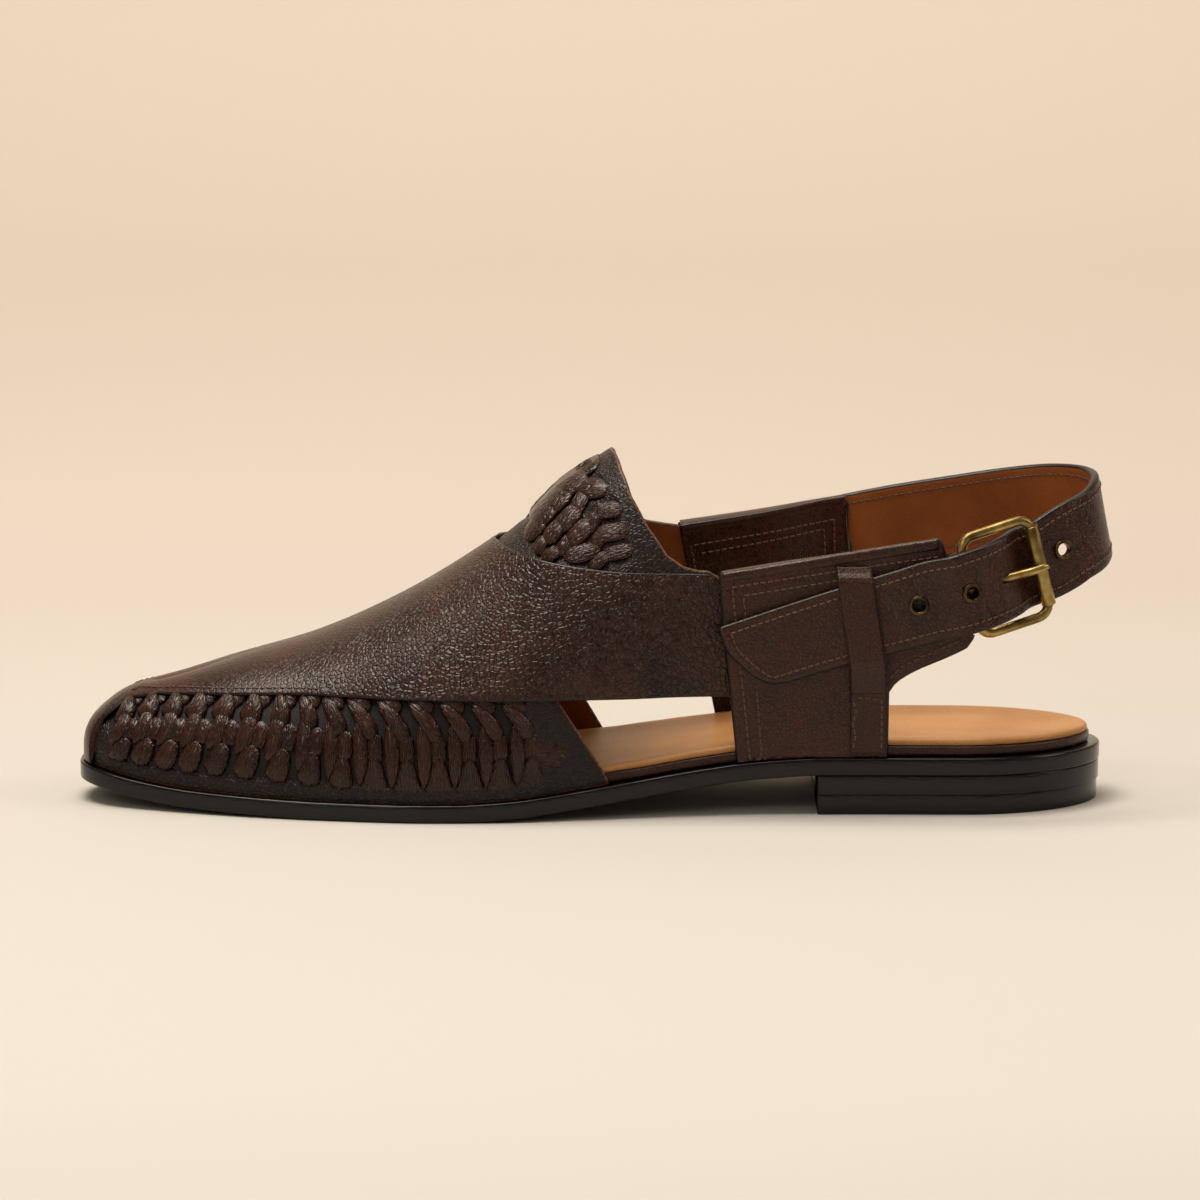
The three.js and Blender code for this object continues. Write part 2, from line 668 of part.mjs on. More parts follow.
const OUTER_QUARTER = [
  { at: 0.6265, height: 1.004 },
  { at: 0.636, height: 0.5 },
  { at: 0.646, height: 0 },
  { at: 0.785, height: 0 },
  { at: 0.786, height: 0.511 },
  { at: 0.7975, height: 0.568 },
  { at: 0.819, height: 0.619 },
  { at: 0.8395, height: 0.655 },
  { at: 0.862, height: 0.7 },
  { at: 0.869, height: 0.755 },
  { at: 0.852, height: 0.88 },
  { at: 0.8365, height: 1.145 },
];
const INNER_QUARTER = [
  { at: 0.589, height: 1.096 },
  { at: 0.629, height: 0.3 },
  { at: 0.635, height: 0 },
  { at: 0.78, height: 0 },
  { at: 0.774, height: 0.42 },
  { at: 0.757, height: 0.7 },
  { at: 0.753, height: 1.203 },
];

// The facing closes a quarter round the rear end of the saddle and the wall: it lies inside the wall
// and joins the quarter behind it. A rolled edge closes the two along the top
const FACING_OUT = -(WALL + GAP);
const FACING_BACK = 0.745 * LENGTH;
const FACING_RIBS = [...QUARTER_RIBS.filter((x) => x < FACING_BACK), FACING_BACK];
const facingAt = (x) => lerp(FACING_OUT, QUARTER_OUT - GAP, smoothstep(x, SIDE_END + GAP, FACING_BACK));

function quarter(side, outline) {
  const ply = (inside, outside, ribs) => {
    const { outer, inner } = shell({ inside, outside, ribs, side });
    return wallSolid(outer, inner);
  };
  const prism = (line) => sidePrism(line, -OUTSIDE, OUTSIDE);
  const line = sideLine(outline, LENGTH, COLLAR_HEIGHT);
  const [front, rear] = [line[0], line.at(-1)];
  const under = (drop) => prism([front, rear, [rear[0], rear[1] - drop], [front[0], front[1] - drop]]);
  const facingIn = (x) => facingAt(x) - FACING_THICKNESS;
  const above = prism([front, rear, [rear[0], BAND_TOP], [front[0], BAND_TOP]]);
  const facing = ply(facingIn, facingAt, FACING_RIBS).intersect(above);
  const roll = ply(facingIn, QUARTER_OUT, FACING_RIBS).intersect(under(EDGE_ROLL));
  return ply(QUARTER_IN, QUARTER_OUT, QUARTER_RIBS).add(facing).add(roll).intersect(prism(line));
}

// Buckle frame: its left bar lies behind the outer quarter, its other bar carries the roller

const BUCKLE_YAW = degToRad(20);
const BUCKLE_PITCH = degToRad(14.5);
const BAR_X = 0.8655 * LENGTH;
const BAR_Z = 0.937 * COLLAR_HEIGHT;
const BAR_OFFSET = (QUARTER_IN + QUARTER_OUT) / 2;
const along = point(
  Math.cos(BUCKLE_PITCH) * Math.cos(BUCKLE_YAW),
  Math.cos(BUCKLE_PITCH) * Math.sin(BUCKLE_YAW),
  Math.sin(BUCKLE_PITCH),
);
const outward = point(Math.sin(BUCKLE_YAW), -Math.cos(BUCKLE_YAW), 0);
const upward = outward.clone().cross(along);
const barCentre = onSide(BAR_X, -1, BAR_Z, BAR_OFFSET);
const inBuckle = (reach, rise, out) => (
  barCentre.clone().addScaledVector(along, reach).addScaledVector(upward, rise).addScaledVector(outward, out)
);

function buckleFrame() {
  const corner = 3;
  const [half, reach] = [BUCKLE_WIDTH / 2, BUCKLE_REACH];
  const corners = [[reach, half], [0, half], [0, -half], [reach, -half]];
  const path = corners.flatMap(([across, rise], k) => {
    const centre = inBuckle(across === 0 ? corner : reach - corner, rise - Math.sign(rise) * corner, 0);
    return steps(4, k * 90, k * 90 + 90, (degrees) => {
      const turn = degToRad(degrees);
      return centre.clone()
        .addScaledVector(along, corner * Math.cos(turn))
        .addScaledVector(upward, corner * Math.sin(turn));
    });
  });
  return ringOfWire(path, outward, WIRE / 2);
}

// A closed wire through a loop of points that lie in one plane
function ringOfWire(path, normal, radius) {
  const sides = 8;
  const sections = path.map((place, i) => {
    const ahead = path[(i + 1) % path.length].clone().sub(path.at(i - 1)).normalize();
    const across = ahead.clone().cross(normal);
    return steps(sides - 1, 0, 2 * Math.PI * (1 - 1 / sides), (turn) => (
      place.clone()
        .addScaledVector(across, radius * Math.cos(turn))
        .addScaledVector(normal, radius * Math.sin(turn))
    ));
  });
  const count = sections.length;
  const faces = sections.flatMap((section, s) => section.map((_, k) => {
    const next = (k + 1) % sides;
    const [a, b] = [s * sides, ((s + 1) % count) * sides];
    return [a + k, a + next, b + next, b + k];
  }));
  return solidFrom(sections.flat(), faces);
}

function roller() {
  const centre = inBuckle(BUCKLE_REACH, 0, 0);
  const tube = pin(centre, upward, ROLLER_DIAMETER / 2, ROLLER_LENGTH, 14);
  return tube.subtract(pin(centre, upward, WIRE / 2 + GAP, ROLLER_LENGTH + 2, 10));
}

// The prong hangs on the left bar, rises through the strap and lies on the roller
const RING_IN = WIRE / 2 + GAP;
const RING_OUT = RING_IN + TAB_LEATHER;
const PRONG_REST = ROLLER_DIAMETER / 2 + GAP + PRONG_DIAMETER / 2;

function prongShank(radius) {
  const path = [
    inBuckle(RING_IN + 0.6, 0, 0.2),
    inBuckle(PRONG_PLACE, 0, 0.52 * PRONG_REST),
    inBuckle(BUCKLE_REACH - 3, 0, PRONG_REST),
    inBuckle(BUCKLE_REACH + 1.2, 0, PRONG_REST - 0.1),
  ];
  const sections = path.map((place, i) => {
    const ahead = path[Math.min(i + 1, 3)].clone().sub(path[Math.max(i - 1, 0)]).normalize();
    const away = upward.clone().cross(ahead).normalize();
    const size = i === 0 ? 0.8 * TAB_LEATHER : radius;
    return steps(7, 0, 1.75 * Math.PI, (turn) => place.clone()
      .addScaledVector(upward, radius * Math.cos(turn))
      .addScaledVector(away, size * Math.sin(turn)));
  });
  return bar(sections);
}

function prong() {
  const eye = pin(barCentre, upward, RING_OUT, PRONG_DIAMETER, 12);
  const bore = pin(barCentre, upward, RING_IN, 2 * PRONG_DIAMETER, 12);
  return eye.add(prongShank(PRONG_DIAMETER / 2)).subtract(bore);
}

// The leather that folds round the left bar, with a ply on either face of the quarter's end.
// Behind the bar it turns from the buckle's plane into the quarter's
const TAB_REACH = 10;

function tabPoint(reach, rise, out) {
  const free = inBuckle(reach, rise, out);
  const root = inBuckle(reach, rise, 0);
  const sewn = onSide(root.x, -1, root.z, BAR_OFFSET + out);
  return free.lerp(sewn, smoothstep(-reach, RING_OUT, 0.6 * TAB_REACH));
}

function buckleTab() {
  const arc = (radius, from, to) => steps(6, from, to, (degrees) => (
    [radius * Math.cos(degToRad(degrees)), radius * Math.sin(degToRad(degrees))]
  ));
  const ply = (radius, from, to) => steps(2, from, to, (reach) => [reach, radius]);
  const profile = [
    ...ply(RING_IN, -TAB_REACH, -1), ...arc(RING_IN, 90, -90), ...ply(-RING_IN, -1, -TAB_REACH),
    ...ply(-RING_OUT, -TAB_REACH, -1), ...arc(RING_OUT, -90, 90), ...ply(RING_OUT, -1, -TAB_REACH),
  ];
  const sections = steps(2, -TAB_WIDTH / 2, TAB_WIDTH / 2, (rise) => (
    profile.map(([reach, out]) => tabPoint(reach, rise, out))
  ));
  const flat = profile.map(([reach, out]) => new THREE.Vector2(reach, out));
  const slot = pin(barCentre, upward, RING_OUT + GAP, PRONG_DIAMETER + 2 * GAP, 12);
  return bar(sections, THREE.ShapeUtils.triangulateShape(flat, [])).subtract(slot);
}

// Heel strap, from the nose on the outer quarter round the heel to the inner quarter

const strapLine = (x) => lerp(0.668, 0.857, (x / LENGTH - 0.655) / 0.139) * COLLAR_HEIGHT;
const MIDDLE = STRAP_THICKNESS / 2;
const OVER_BAR = RING_OUT + GAP + MIDDLE;
const UNDER_ROLLER = -(ROLLER_DIAMETER / 2 + GAP + MIDDLE);

// A place of the strap's middle on a quarter, and the way its width lies there
function onQuarter(x, side, z, offset) {
  const normal = lastNormal(x, around(x, side, z));
  return { centre: onSide(x, side, z, offset), rise: point(0, 0, 1).projectOnPlane(normal).normalize() };
}

// Places on the outer quarter, as shares of the length and of the lift on to the buckle tab
const STRAP_ON_QUARTER = [
  { at: 0.61, lift: 0 }, { at: 0.64, lift: 0 }, { at: 0.67, lift: 0 }, { at: 0.7, lift: 0 },
  { at: 0.73, lift: 0 }, { at: 0.76, lift: 0 }, { at: 0.785, lift: 0.1 }, { at: 0.81, lift: 0.6 },
  { at: 0.83, lift: 1 },
];

// Places through the buckle: reach from its left bar towards the roller, and how far out
const STRAP_IN_BUCKLE = [
  { reach: -5, out: OVER_BAR },
  { reach: 0, out: OVER_BAR + 0.2 },
  { reach: 0.27 * BUCKLE_REACH, out: OVER_BAR - 0.5 },
  { reach: 0.57 * BUCKLE_REACH, out: 0.3 },
  { reach: 0.78 * BUCKLE_REACH, out: UNDER_ROLLER + 0.4 },
  { reach: BUCKLE_REACH, out: UNDER_ROLLER - 0.6 },
  { reach: 1.2 * BUCKLE_REACH, out: UNDER_ROLLER - 1 },
];

// Places round the heel: shares of the length, the heel's half width and the strap's height
const STRAP_ROUND_HEEL = [
  { at: 0.968, side: -0.46, rise: 0.928, lean: 9 },
  { at: 0.9895, side: -0.28, rise: 0.963, lean: 10 },
  { at: 0.9995, side: 0.03, rise: 1, lean: 11 },
  { at: 0.99, side: 0.37, rise: 1.01, lean: 9 },
  { at: 0.96, side: 0.63, rise: 1.005, lean: 8 },
  { at: 0.915, side: 0.82, rise: 0.98, lean: 7 },
  { at: 0.86, side: 0.92, rise: 0.945, lean: 6 },
  { at: 0.805, side: 0.975, rise: 0.91, lean: 6 },
];

// Places on the inner quarter, where the strap is sewn down
const STRAP_END = [{ at: 0.76, rise: 0.876 }, { at: 0.733, rise: 0.853 }, { at: 0.705, rise: 0.83 }];

function strapRows() {
  const tabLift = BAR_OFFSET + OVER_BAR - STRAP_IN - MIDDLE;
  const heelCentre = point(LENGTH - HEEL_ROUNDNESS, 0, 0);
  return [
    ...STRAP_ON_QUARTER.map(({ at, lift }) => {
      const x = at * LENGTH;
      return onQuarter(x, -1, strapLine(x), STRAP_IN + MIDDLE + lift * tabLift);
    }),
    ...STRAP_IN_BUCKLE.map(({ reach, out }) => ({ centre: inBuckle(reach, 0, out), rise: upward })),
    ...STRAP_ROUND_HEEL.map(({ at, side, rise, lean }) => {
      const place = point(at * LENGTH, side * HEEL_HALF, 0);
      const inwards = heelCentre.clone().sub(place).normalize();
      return {
        centre: place.setZ(rise * HEEL_STRAP_HEIGHT),
        rise: point(0, 0, Math.cos(degToRad(lean))).addScaledVector(inwards, Math.sin(degToRad(lean))),
      };
    }),
    ...STRAP_END.map(({ at, rise }) => (
      onQuarter(at * LENGTH, 1, rise * HEEL_STRAP_HEIGHT, STRAP_IN + MIDDLE)
    )),
  ];
}

const STRAP_ROWS = strapRows();
const strapCurve = new THREE.CatmullRomCurve3(STRAP_ROWS.map((row) => row.centre));

// Frame of the strap at a share of its rows: where it is, how its width lies and which way it faces
function strapFrame(t) {
  const centre = strapCurve.getPoint(t);
  const ahead = strapCurve.getTangent(t);
  const place = t * (STRAP_ROWS.length - 1);
  const row = Math.min(Math.floor(place), STRAP_ROWS.length - 2);
  const rise = STRAP_ROWS[row].rise.clone().lerp(STRAP_ROWS[row + 1].rise, place - row);
  rise.projectOnPlane(ahead).normalize();
  return { centre, rise, facing: ahead.clone().cross(rise) };
}

// Share of the strap at which its outer side passes a length along the shoe
function strapShare(x) {
  let [low, high] = [0, 0.6];
  for (let i = 0; i < 30; i += 1) {
    const middle = (low + high) / 2;
    if (strapCurve.getPoint(middle).x < x) low = middle;
    else high = middle;
  }
  return low;
}

const EYELETS = [0.8165, 0.8655, 0.967].map((share) => strapFrame(strapShare(share * LENGTH)));

function heelStrap() {
  const count = 1.5 * (STRAP_ROWS.length - 1);
  const sections = steps(count, 0, 1, (t) => {
    const { centre, facing, rise } = strapFrame(t);
    const narrow = lerp(0.9, 1, smoothstep(t, 0.05, 0.4));
    const half = (narrow * STRAP_WIDTH) / 2;
    return [[-1, -1], [1, -1], [1, 1], [-1, 1]].map(([up, out]) => (
      centre.clone().addScaledVector(rise, up * half).addScaledVector(facing, out * MIDDLE)
    ));
  });
  const holes = EYELETS.map(({ centre, facing }) => (
    pin(centre, facing, EYELET_HOLE / 2, 3 * STRAP_THICKNESS, 12)
  ));
  const cuts = [...holes, prongShank(PRONG_DIAMETER / 2 + GAP), noseCutter()];
  return cuts.reduce((solid, cut) => solid.subtract(cut), bar(sections));
}

// The strap's end is cut to a point at the top and swept back below
function noseCutter() {
  const nose = [
    { at: 0.6265, height: 0.78 }, { at: 0.627, height: 0.735 }, { at: 0.633, height: 0.69 },
    { at: 0.647, height: 0.64 }, { at: 0.665, height: 0.59 }, { at: 0.7, height: 0.49 },
  ];
  const line = sideLine(nose, LENGTH, COLLAR_HEIGHT);
  const under = [[0.7 * LENGTH, 0], [0.55 * LENGTH, 0]];
  const front = [[0.55 * LENGTH, COLLAR_HEIGHT], [line[0][0], COLLAR_HEIGHT]];
  return sidePrism([...line, ...under, ...front], -OUTSIDE, 0);
}

function eyelet({ centre, facing }) {
  const [bore, rim, barrel] = [EYELET_BORE / 2, EYELET_DIAMETER / 2, EYELET_HOLE / 2 - GAP];
  const seat = 1.5 * GAP;
  const face = seat + EYELET_FLANGE;
  const profile = [
    [bore, -MIDDLE], [barrel, -MIDDLE], [barrel, seat], [rim, seat],
    [rim - GAP, face], [bore, face], [bore, -MIDDLE],
  ];
  const geometry = new THREE.LatheGeometry(profile.map(([r, h]) => new THREE.Vector2(r, h)), 12);
  const turn = new THREE.Quaternion().setFromUnitVectors(point(0, 1, 0), facing);
  const place = moved(centre, facing, MIDDLE);
  return solidOf(geometry.applyQuaternion(turn).translate(place.x, place.y, place.z));
}

// Keeper, a band over the strap that runs down the quarter to the sole. Its upper rows lie along
// the strap, at shares of the strap's width from its middle, and its lower rows at heights
const KEEPER_ROWS = [
  { at: 0.7535, beside: 0.74, lift: 0 },
  { at: 0.7545, beside: 0.62, lift: 0 },
  { at: 0.755, beside: 0.56, lift: 1 },
  { at: 0.761, beside: 0, lift: 1 },
  { at: 0.767, beside: -0.56, lift: 1 },
  { at: 0.768, beside: -0.63, lift: 0 },
  { at: 0.7685, height: 0.42, lift: 0 },
  { at: 0.7685, height: 0.27, lift: 0 },
];

function keeper() {
  const sheet = (extra) => KEEPER_ROWS.map(({ at, beside, height, lift }) => (
    steps(2, -0.5, 0.5, (s) => {
      const x = at * LENGTH + s * KEEPER_WIDTH;
      const z = height ? height * COLLAR_HEIGHT : strapLine(x) + beside * STRAP_WIDTH;
      return onSide(x, -1, z, lerp(STRAP_IN, STRAP_OUT + 2 * GAP, lift) + extra);
    })
  ));
  return wallSolid(sheet(KEEPER_THICKNESS), sheet(0));
}

// Assembly
addPiece('heel_top_piece', heelLayer(0, TOP_PIECE_THICKNESS), SOLE_EDGE);
addPiece('heel_lift', heelLayer(TOP_PIECE_THICKNESS, HEEL_HEIGHT), SOLE_EDGE);
addPiece('outsole', outsole(), SOLE_EDGE);
addPiece('footbed_rim', footbedRim(), DARK_LEATHER);
addPiece('insole', insole(), TAN_LEATHER);
addPiece('woven_upper', upper(), DARK_LEATHER);
addPiece('saddle', saddle(), DARK_LEATHER);
addPiece('outer_quarter', quarter(-1, OUTER_QUARTER), DARK_LEATHER);
addPiece('inner_quarter', quarter(1, INNER_QUARTER), DARK_LEATHER);
addPiece('heel_strap', heelStrap(), DARK_LEATHER);
addPiece('strap_keeper', keeper(), DARK_LEATHER);
addPiece('buckle_tab', buckleTab(), DARK_LEATHER);
addPiece('buckle_frame', buckleFrame(), BRASS);
addPiece('buckle_roller', roller(), BRASS);
addPiece('buckle_prong', prong(), BRASS);
EYELETS.forEach((frame, i) => addPiece(`eyelet_${i + 1}`, eyelet(frame), BRASS));

// The origin is at the middle of the footprint's box, on the floor
const box = new THREE.Box3().setFromObject(group);
const middle = box.getCenter(new THREE.Vector3());
group.position.set(-middle.x, -middle.y, -box.min.z);

export default group;
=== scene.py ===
# %% [markdown]
# # A left peshawari chappal
# This shoe is leather from end to end: a plaited band round the toe, a smooth saddle over it, two side
# quarters and a buckled strap round the heel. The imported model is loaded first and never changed.
# Each leather piece is then laid over it as a fine surface, worked out from the same last.

# %% Load the frame
import math

import bpy
import numpy as np
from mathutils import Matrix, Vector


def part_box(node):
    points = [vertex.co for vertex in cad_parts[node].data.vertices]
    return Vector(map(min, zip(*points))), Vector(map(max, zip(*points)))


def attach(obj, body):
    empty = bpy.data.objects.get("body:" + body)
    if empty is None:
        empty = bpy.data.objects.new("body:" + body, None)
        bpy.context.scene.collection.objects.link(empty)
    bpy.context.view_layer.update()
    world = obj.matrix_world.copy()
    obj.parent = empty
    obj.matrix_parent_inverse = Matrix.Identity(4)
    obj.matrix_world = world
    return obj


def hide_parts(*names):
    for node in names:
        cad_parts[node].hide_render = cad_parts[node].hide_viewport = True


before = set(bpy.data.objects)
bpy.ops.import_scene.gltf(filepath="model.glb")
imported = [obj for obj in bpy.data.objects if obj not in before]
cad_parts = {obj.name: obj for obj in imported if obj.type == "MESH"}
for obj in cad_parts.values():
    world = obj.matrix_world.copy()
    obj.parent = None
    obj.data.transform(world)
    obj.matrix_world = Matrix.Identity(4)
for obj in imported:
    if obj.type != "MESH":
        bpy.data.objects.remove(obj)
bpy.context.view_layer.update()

# %% [markdown]
# ## Sizes
# Every size is a real one in millimetres. X runs from the toe to the heel, Y from the outer to the inner
# side and Z up from the floor. Short tables hold the curves of the shoe as shares of these sizes.

# %% Sizes in millimetres
LENGTH, BALL_HALF, HEEL_HALF = 306.0, 49.2, 35.2
OUTSOLE_THICKNESS, TOE_SPRING = 5.3, 6.4
HEEL_LENGTH, HEEL_HEIGHT, TOP_PIECE, HEEL_TAPER = 85.6, 11.7, 6.0, 1.0
TOE_BLUNTNESS, HEEL_ROUNDNESS = 20.0, 40.0
RIM_THICKNESS, INSOLE_THICKNESS, INSOLE_INSET, INSOLE_DISH = 2.8, 1.8, 0.6, 0.8
GAP, WALL, SADDLE_THICKNESS, QUARTER_THICKNESS, FACING = 0.3, 1.6, 1.2, 2.0, 0.9
STRAP_THICKNESS, STRAP_WIDTH, KEEPER_THICKNESS, KEEPER_WIDTH = 2.6, 23.0, 1.2, 10.6
TAB_LEATHER, TAB_WIDTH = 0.85, 21.6
INSTEP_HEIGHT, BAND_TOP, COLLAR_HEIGHT = 105.0, 36.2, 72.0
FOREFOOT_LEDGE, WEAVE_PITCH, HEEL_STRAP_HEIGHT = 2.5, 9.4, 84.9
WIRE, BUCKLE_WIDTH, BUCKLE_REACH = 2.9, 30.0, 23.0
ROLLER_DIAMETER, ROLLER_LENGTH, PRONG_DIAMETER, PRONG_PLACE = 4.3, 24.5, 2.5, 13.0
EYELET_DIAMETER, EYELET_HOLE, EYELET_BORE = 6.0, 5.2, 3.7


def lerp(a, b, t):
    """From a to b by the share t."""
    return a + (b - a) * t


def smoothstep(x, low, high):
    """0 below low, 1 above high, with a soft rise between."""
    t = np.clip((x - low) / (high - low), 0, 1)
    return t * t * (3 - 2 * t)


def unit(vectors):
    """Vectors of length 1 in the same directions."""
    return vectors / np.maximum(np.linalg.norm(vectors, axis=-1, keepdims=True), 1e-9)


def table(names, rows):
    """The columns of a short table, by name."""
    return dict(zip(names.split(), np.array(rows, float).T))


def through(at, value):
    """Curve through points that never swings past them: cubics whose slopes at the points are the
    harmonic means of the straight slopes on either side, and 0 where those turn."""
    gaps = np.diff(at)
    slopes = np.diff(value) / gaps
    product = slopes[:-1] * slopes[1:]
    total = np.where(product > 0, slopes[:-1] + slopes[1:], 1)
    bends = np.concatenate([slopes[:1], np.where(product > 0, 2 * product / total, 0), slopes[-1:]])

    def curve(wanted):
        x = np.clip(wanted, at[0], at[-1])
        i = np.clip(np.searchsorted(at, x) - 1, 0, len(gaps) - 1)
        t = (x - at[i]) / gaps[i]
        swing = gaps[i] * t * (1 - t) * (bends[i] * (1 - t) - bends[i + 1] * t)
        return lerp(value[i], value[i + 1], t * t * (3 - 2 * t)) + swing

    return curve


# %% [markdown]
# ## Sole outline
# The sole's half widths are two curves, one for each side. Both ends are rounded by a power curve, so
# the toe is a blunt point and the heel is nearly round.

# %% Plan of the sole and heights of its layers
PLAN = table("at half outer inner", [
    (0, BALL_HALF, 0.356, 0.356), (0.046, BALL_HALF, 0.476, 0.48), (0.098, BALL_HALF, 0.62, 0.64),
    (0.18, BALL_HALF, 0.805, 0.843), (0.262, BALL_HALF, 0.927, 0.976), (0.344, BALL_HALF, 0.996, 1.006),
    (0.41, BALL_HALF, 0.988, 0.945), (0.491, BALL_HALF, 0.902, 0.813), (0.573, HEEL_HALF, 1.114, 0.98),
    (0.655, HEEL_HALF, 1.017, 0.938), (0.754, HEEL_HALF, 0.989, 0.966), (0.868, HEEL_HALF, 1, 0.955),
    (1, HEEL_HALF, 0.98, 0.93),
])
outer_width = through(PLAN["at"] * LENGTH, PLAN["half"] * PLAN["outer"])
inner_width = through(PLAN["at"] * LENGTH, PLAN["half"] * PLAN["inner"])
TOE_RISE = table("at rise", [
    (0, 1), (0.074, 0.82), (0.147, 0.61), (0.232, 0.42), (0.368, 0.219), (0.579, 0.094), (0.789, 0.02),
    (1, 0),
])
SHANK_RISE = table("at rise", [
    (0, 0), (0.143, 0.085), (0.296, 0.248), (0.44, 0.436), (0.669, 0.744), (0.832, 0.915), (0.98, 1),
])
toe_rise = through(TOE_RISE["at"], TOE_RISE["rise"])
shank_rise = through(SHANK_RISE["at"], SHANK_RISE["rise"])
FLAT_FROM, FLAT_TO, BREAST = 0.305 * LENGTH, 0.377 * LENGTH, LENGTH - HEEL_LENGTH
OPENING_BOTTOM, OPENING_TOP, SIDE_END = 0.517 * LENGTH, 0.466 * LENGTH, 0.668 * LENGTH
QUARTER_LEDGE = FOREFOOT_LEDGE + 2.2


def by_side(side, outer, inner):
    """A value for each place that depends on its side of the shoe: -1 is outer, 1 is inner."""
    return np.where(np.asarray(side) < 0, outer, inner)


def rounded(share, power):
    """How full the outline is at a share of the way into a rounded end."""
    return (1 - (1 - np.clip(share, 0, 1)) ** power) ** (1 / power)


def half_width(x, side, inset=0.0):
    """Half width of the sole's outline, drawn in by an inset square to the outline."""
    body = by_side(side, outer_width(x), inner_width(x))
    outer_step, inner_step = (width(x + 1) - width(x - 1) for width in (outer_width, inner_width))
    slope = by_side(side, outer_step, inner_step) / 2
    ends = rounded((x - inset) / TOE_BLUNTNESS, 3) * rounded((LENGTH - inset - x) / HEEL_ROUNDNESS, 1.9)
    return np.maximum(body - inset * np.hypot(1, slope), 0) * ends


def underside(x):
    """Height of the outsole's lower face: it springs up to the toe and climbs the shank to the heel."""
    toe = toe_rise(x / FLAT_FROM)
    shank = shank_rise((x - FLAT_TO) / (BREAST - FLAT_TO))
    return toe * TOE_SPRING + shank * HEEL_HEIGHT


def sole_top(x):
    """Height of the outsole's upper face."""
    return underside(x) + OUTSOLE_THICKNESS


def ledge(x):
    """How far the upper's foot stands in from the sole's edge."""
    return lerp(FOREFOOT_LEDGE, QUARTER_LEDGE, smoothstep(x, 0.53 * LENGTH, 0.59 * LENGTH))


along_sole = np.arange(LENGTH)
widest = (half_width(along_sole, -1) + half_width(along_sole, 1)).max()
print("widest sole, mm:", round(float(widest), 1))

# %% [markdown]
# ## The last
# A shoemaker pulls the upper over a last, the wooden foot. Here the last is a row of ribs from sole to
# sole: each rib is a superellipse from its foot on the sole up to the ridge. One function gives any point
# of it and another its outward direction, so each leather layer is the last drawn out by an offset.

# %% The last as a function of two parameters
RIDGE = table("at height lean fullness", [
    (0.079, 0.316, 0, 2.03), (0.114, 0.347, 0.1, 2.08), (0.155, 0.388, 0.3, 2.15), (0.234, 0.456, 0.8, 2.2),
    (0.312, 0.556, 1, 2.2), (0.391, 0.693, 1, 2.2), (0.43, 0.779, 1, 2.2), (0.469, 0.895, 1, 2.2),
    (0.52, 0.997, 1, 2.25), (0.573, 1.1, 0.8, 2.4), (0.655, 1.34, 0.4, 2.65), (0.754, 1.57, 0, 2.8),
    (1, 1.9, 0, 2.8),
])
TOWARDS_INNER = 0.05
ridge_height = through(RIDGE["at"] * LENGTH, RIDGE["height"] * INSTEP_HEIGHT)
ridge_lean = through(RIDGE["at"] * LENGTH, RIDGE["lean"] * TOWARDS_INNER * BALL_HALF)
rib_fullness = through(RIDGE["at"] * LENGTH, RIDGE["fullness"])
FAN_LENGTH, FAN_LEAD, TOE = 0.229 * LENGTH, 0.079 * LENGTH, FOREFOOT_LEDGE
TOE_SWELL, SWELL_END = 0.045, math.radians(50)


def rib(x, side):
    """Foot and top of a rib, how square it is and how much it swells out over its foot."""
    fan = np.maximum(1 - x / FAN_LENGTH, 0)
    top_x = x + FAN_LEAD * fan**1.5
    foot_z = np.maximum(sole_top(x - FOREFOOT_LEDGE), sole_top(x + FOREFOOT_LEDGE)) + GAP
    foot = np.stack([x, side * half_width(x, side, ledge(x)), foot_z], -1)
    top = np.stack([top_x, ridge_lean(top_x), ridge_height(top_x)], -1)
    return foot, top, rib_fullness(top_x), TOE_SWELL * np.maximum(fan, 0.3)


def last(x, v):
    """Point of the last on rib x at v: -1 at the outer sole, 0 on the ridge, 1 at the inner sole.
    In front of the toe the ribs fold back on themselves."""
    x, v = np.broadcast_arrays(np.asarray(x, float), np.asarray(v, float))
    x, v = np.where(x < TOE, 2 * TOE - x, x), np.where(x < TOE, -v, v)
    foot, top, fullness, swell = rib(x, np.where(v < 0, -1, 1))
    turn = (1 - np.abs(v)) * np.pi / 2
    over = np.sin(np.pi * np.minimum(turn / SWELL_END, 1)) ** 2
    out = np.maximum(np.cos(turn), 0) ** (2 / fullness) + swell * over
    up = np.sin(turn) ** (2 / fullness)
    shares = np.stack([out, out, 1 - up], -1)
    return lerp(top, foot, shares)


def last_normal(x, v):
    """Outward direction: the cross product of the steps along the shoe and round the rib."""
    x, v = np.broadcast_arrays(np.asarray(x, float), np.asarray(v, float))
    round_rib = last(x, np.minimum(v + 0.01, 1)) - last(x, np.maximum(v - 0.01, -1))
    along_shoe = last(x + 0.5, v) - last(x - 0.5, v)
    return unit(np.cross(along_shoe, round_rib))


def drawn(x, v, offset):
    """Point of the last drawn out by an offset."""
    return last(x, v) + last_normal(x, v) * np.asarray(offset)[..., None]


def around(x, side, z):
    """The v at which rib x passes a height."""
    foot, top, fullness, _ = rib(x, side)
    up = np.clip((z - foot[..., 2]) / (top[..., 2] - foot[..., 2]), 0, 1)
    return side * (1 - np.arcsin(up ** (fullness / 2)) / (np.pi / 2))


CORRECTIONS, HALVINGS = 3, 24


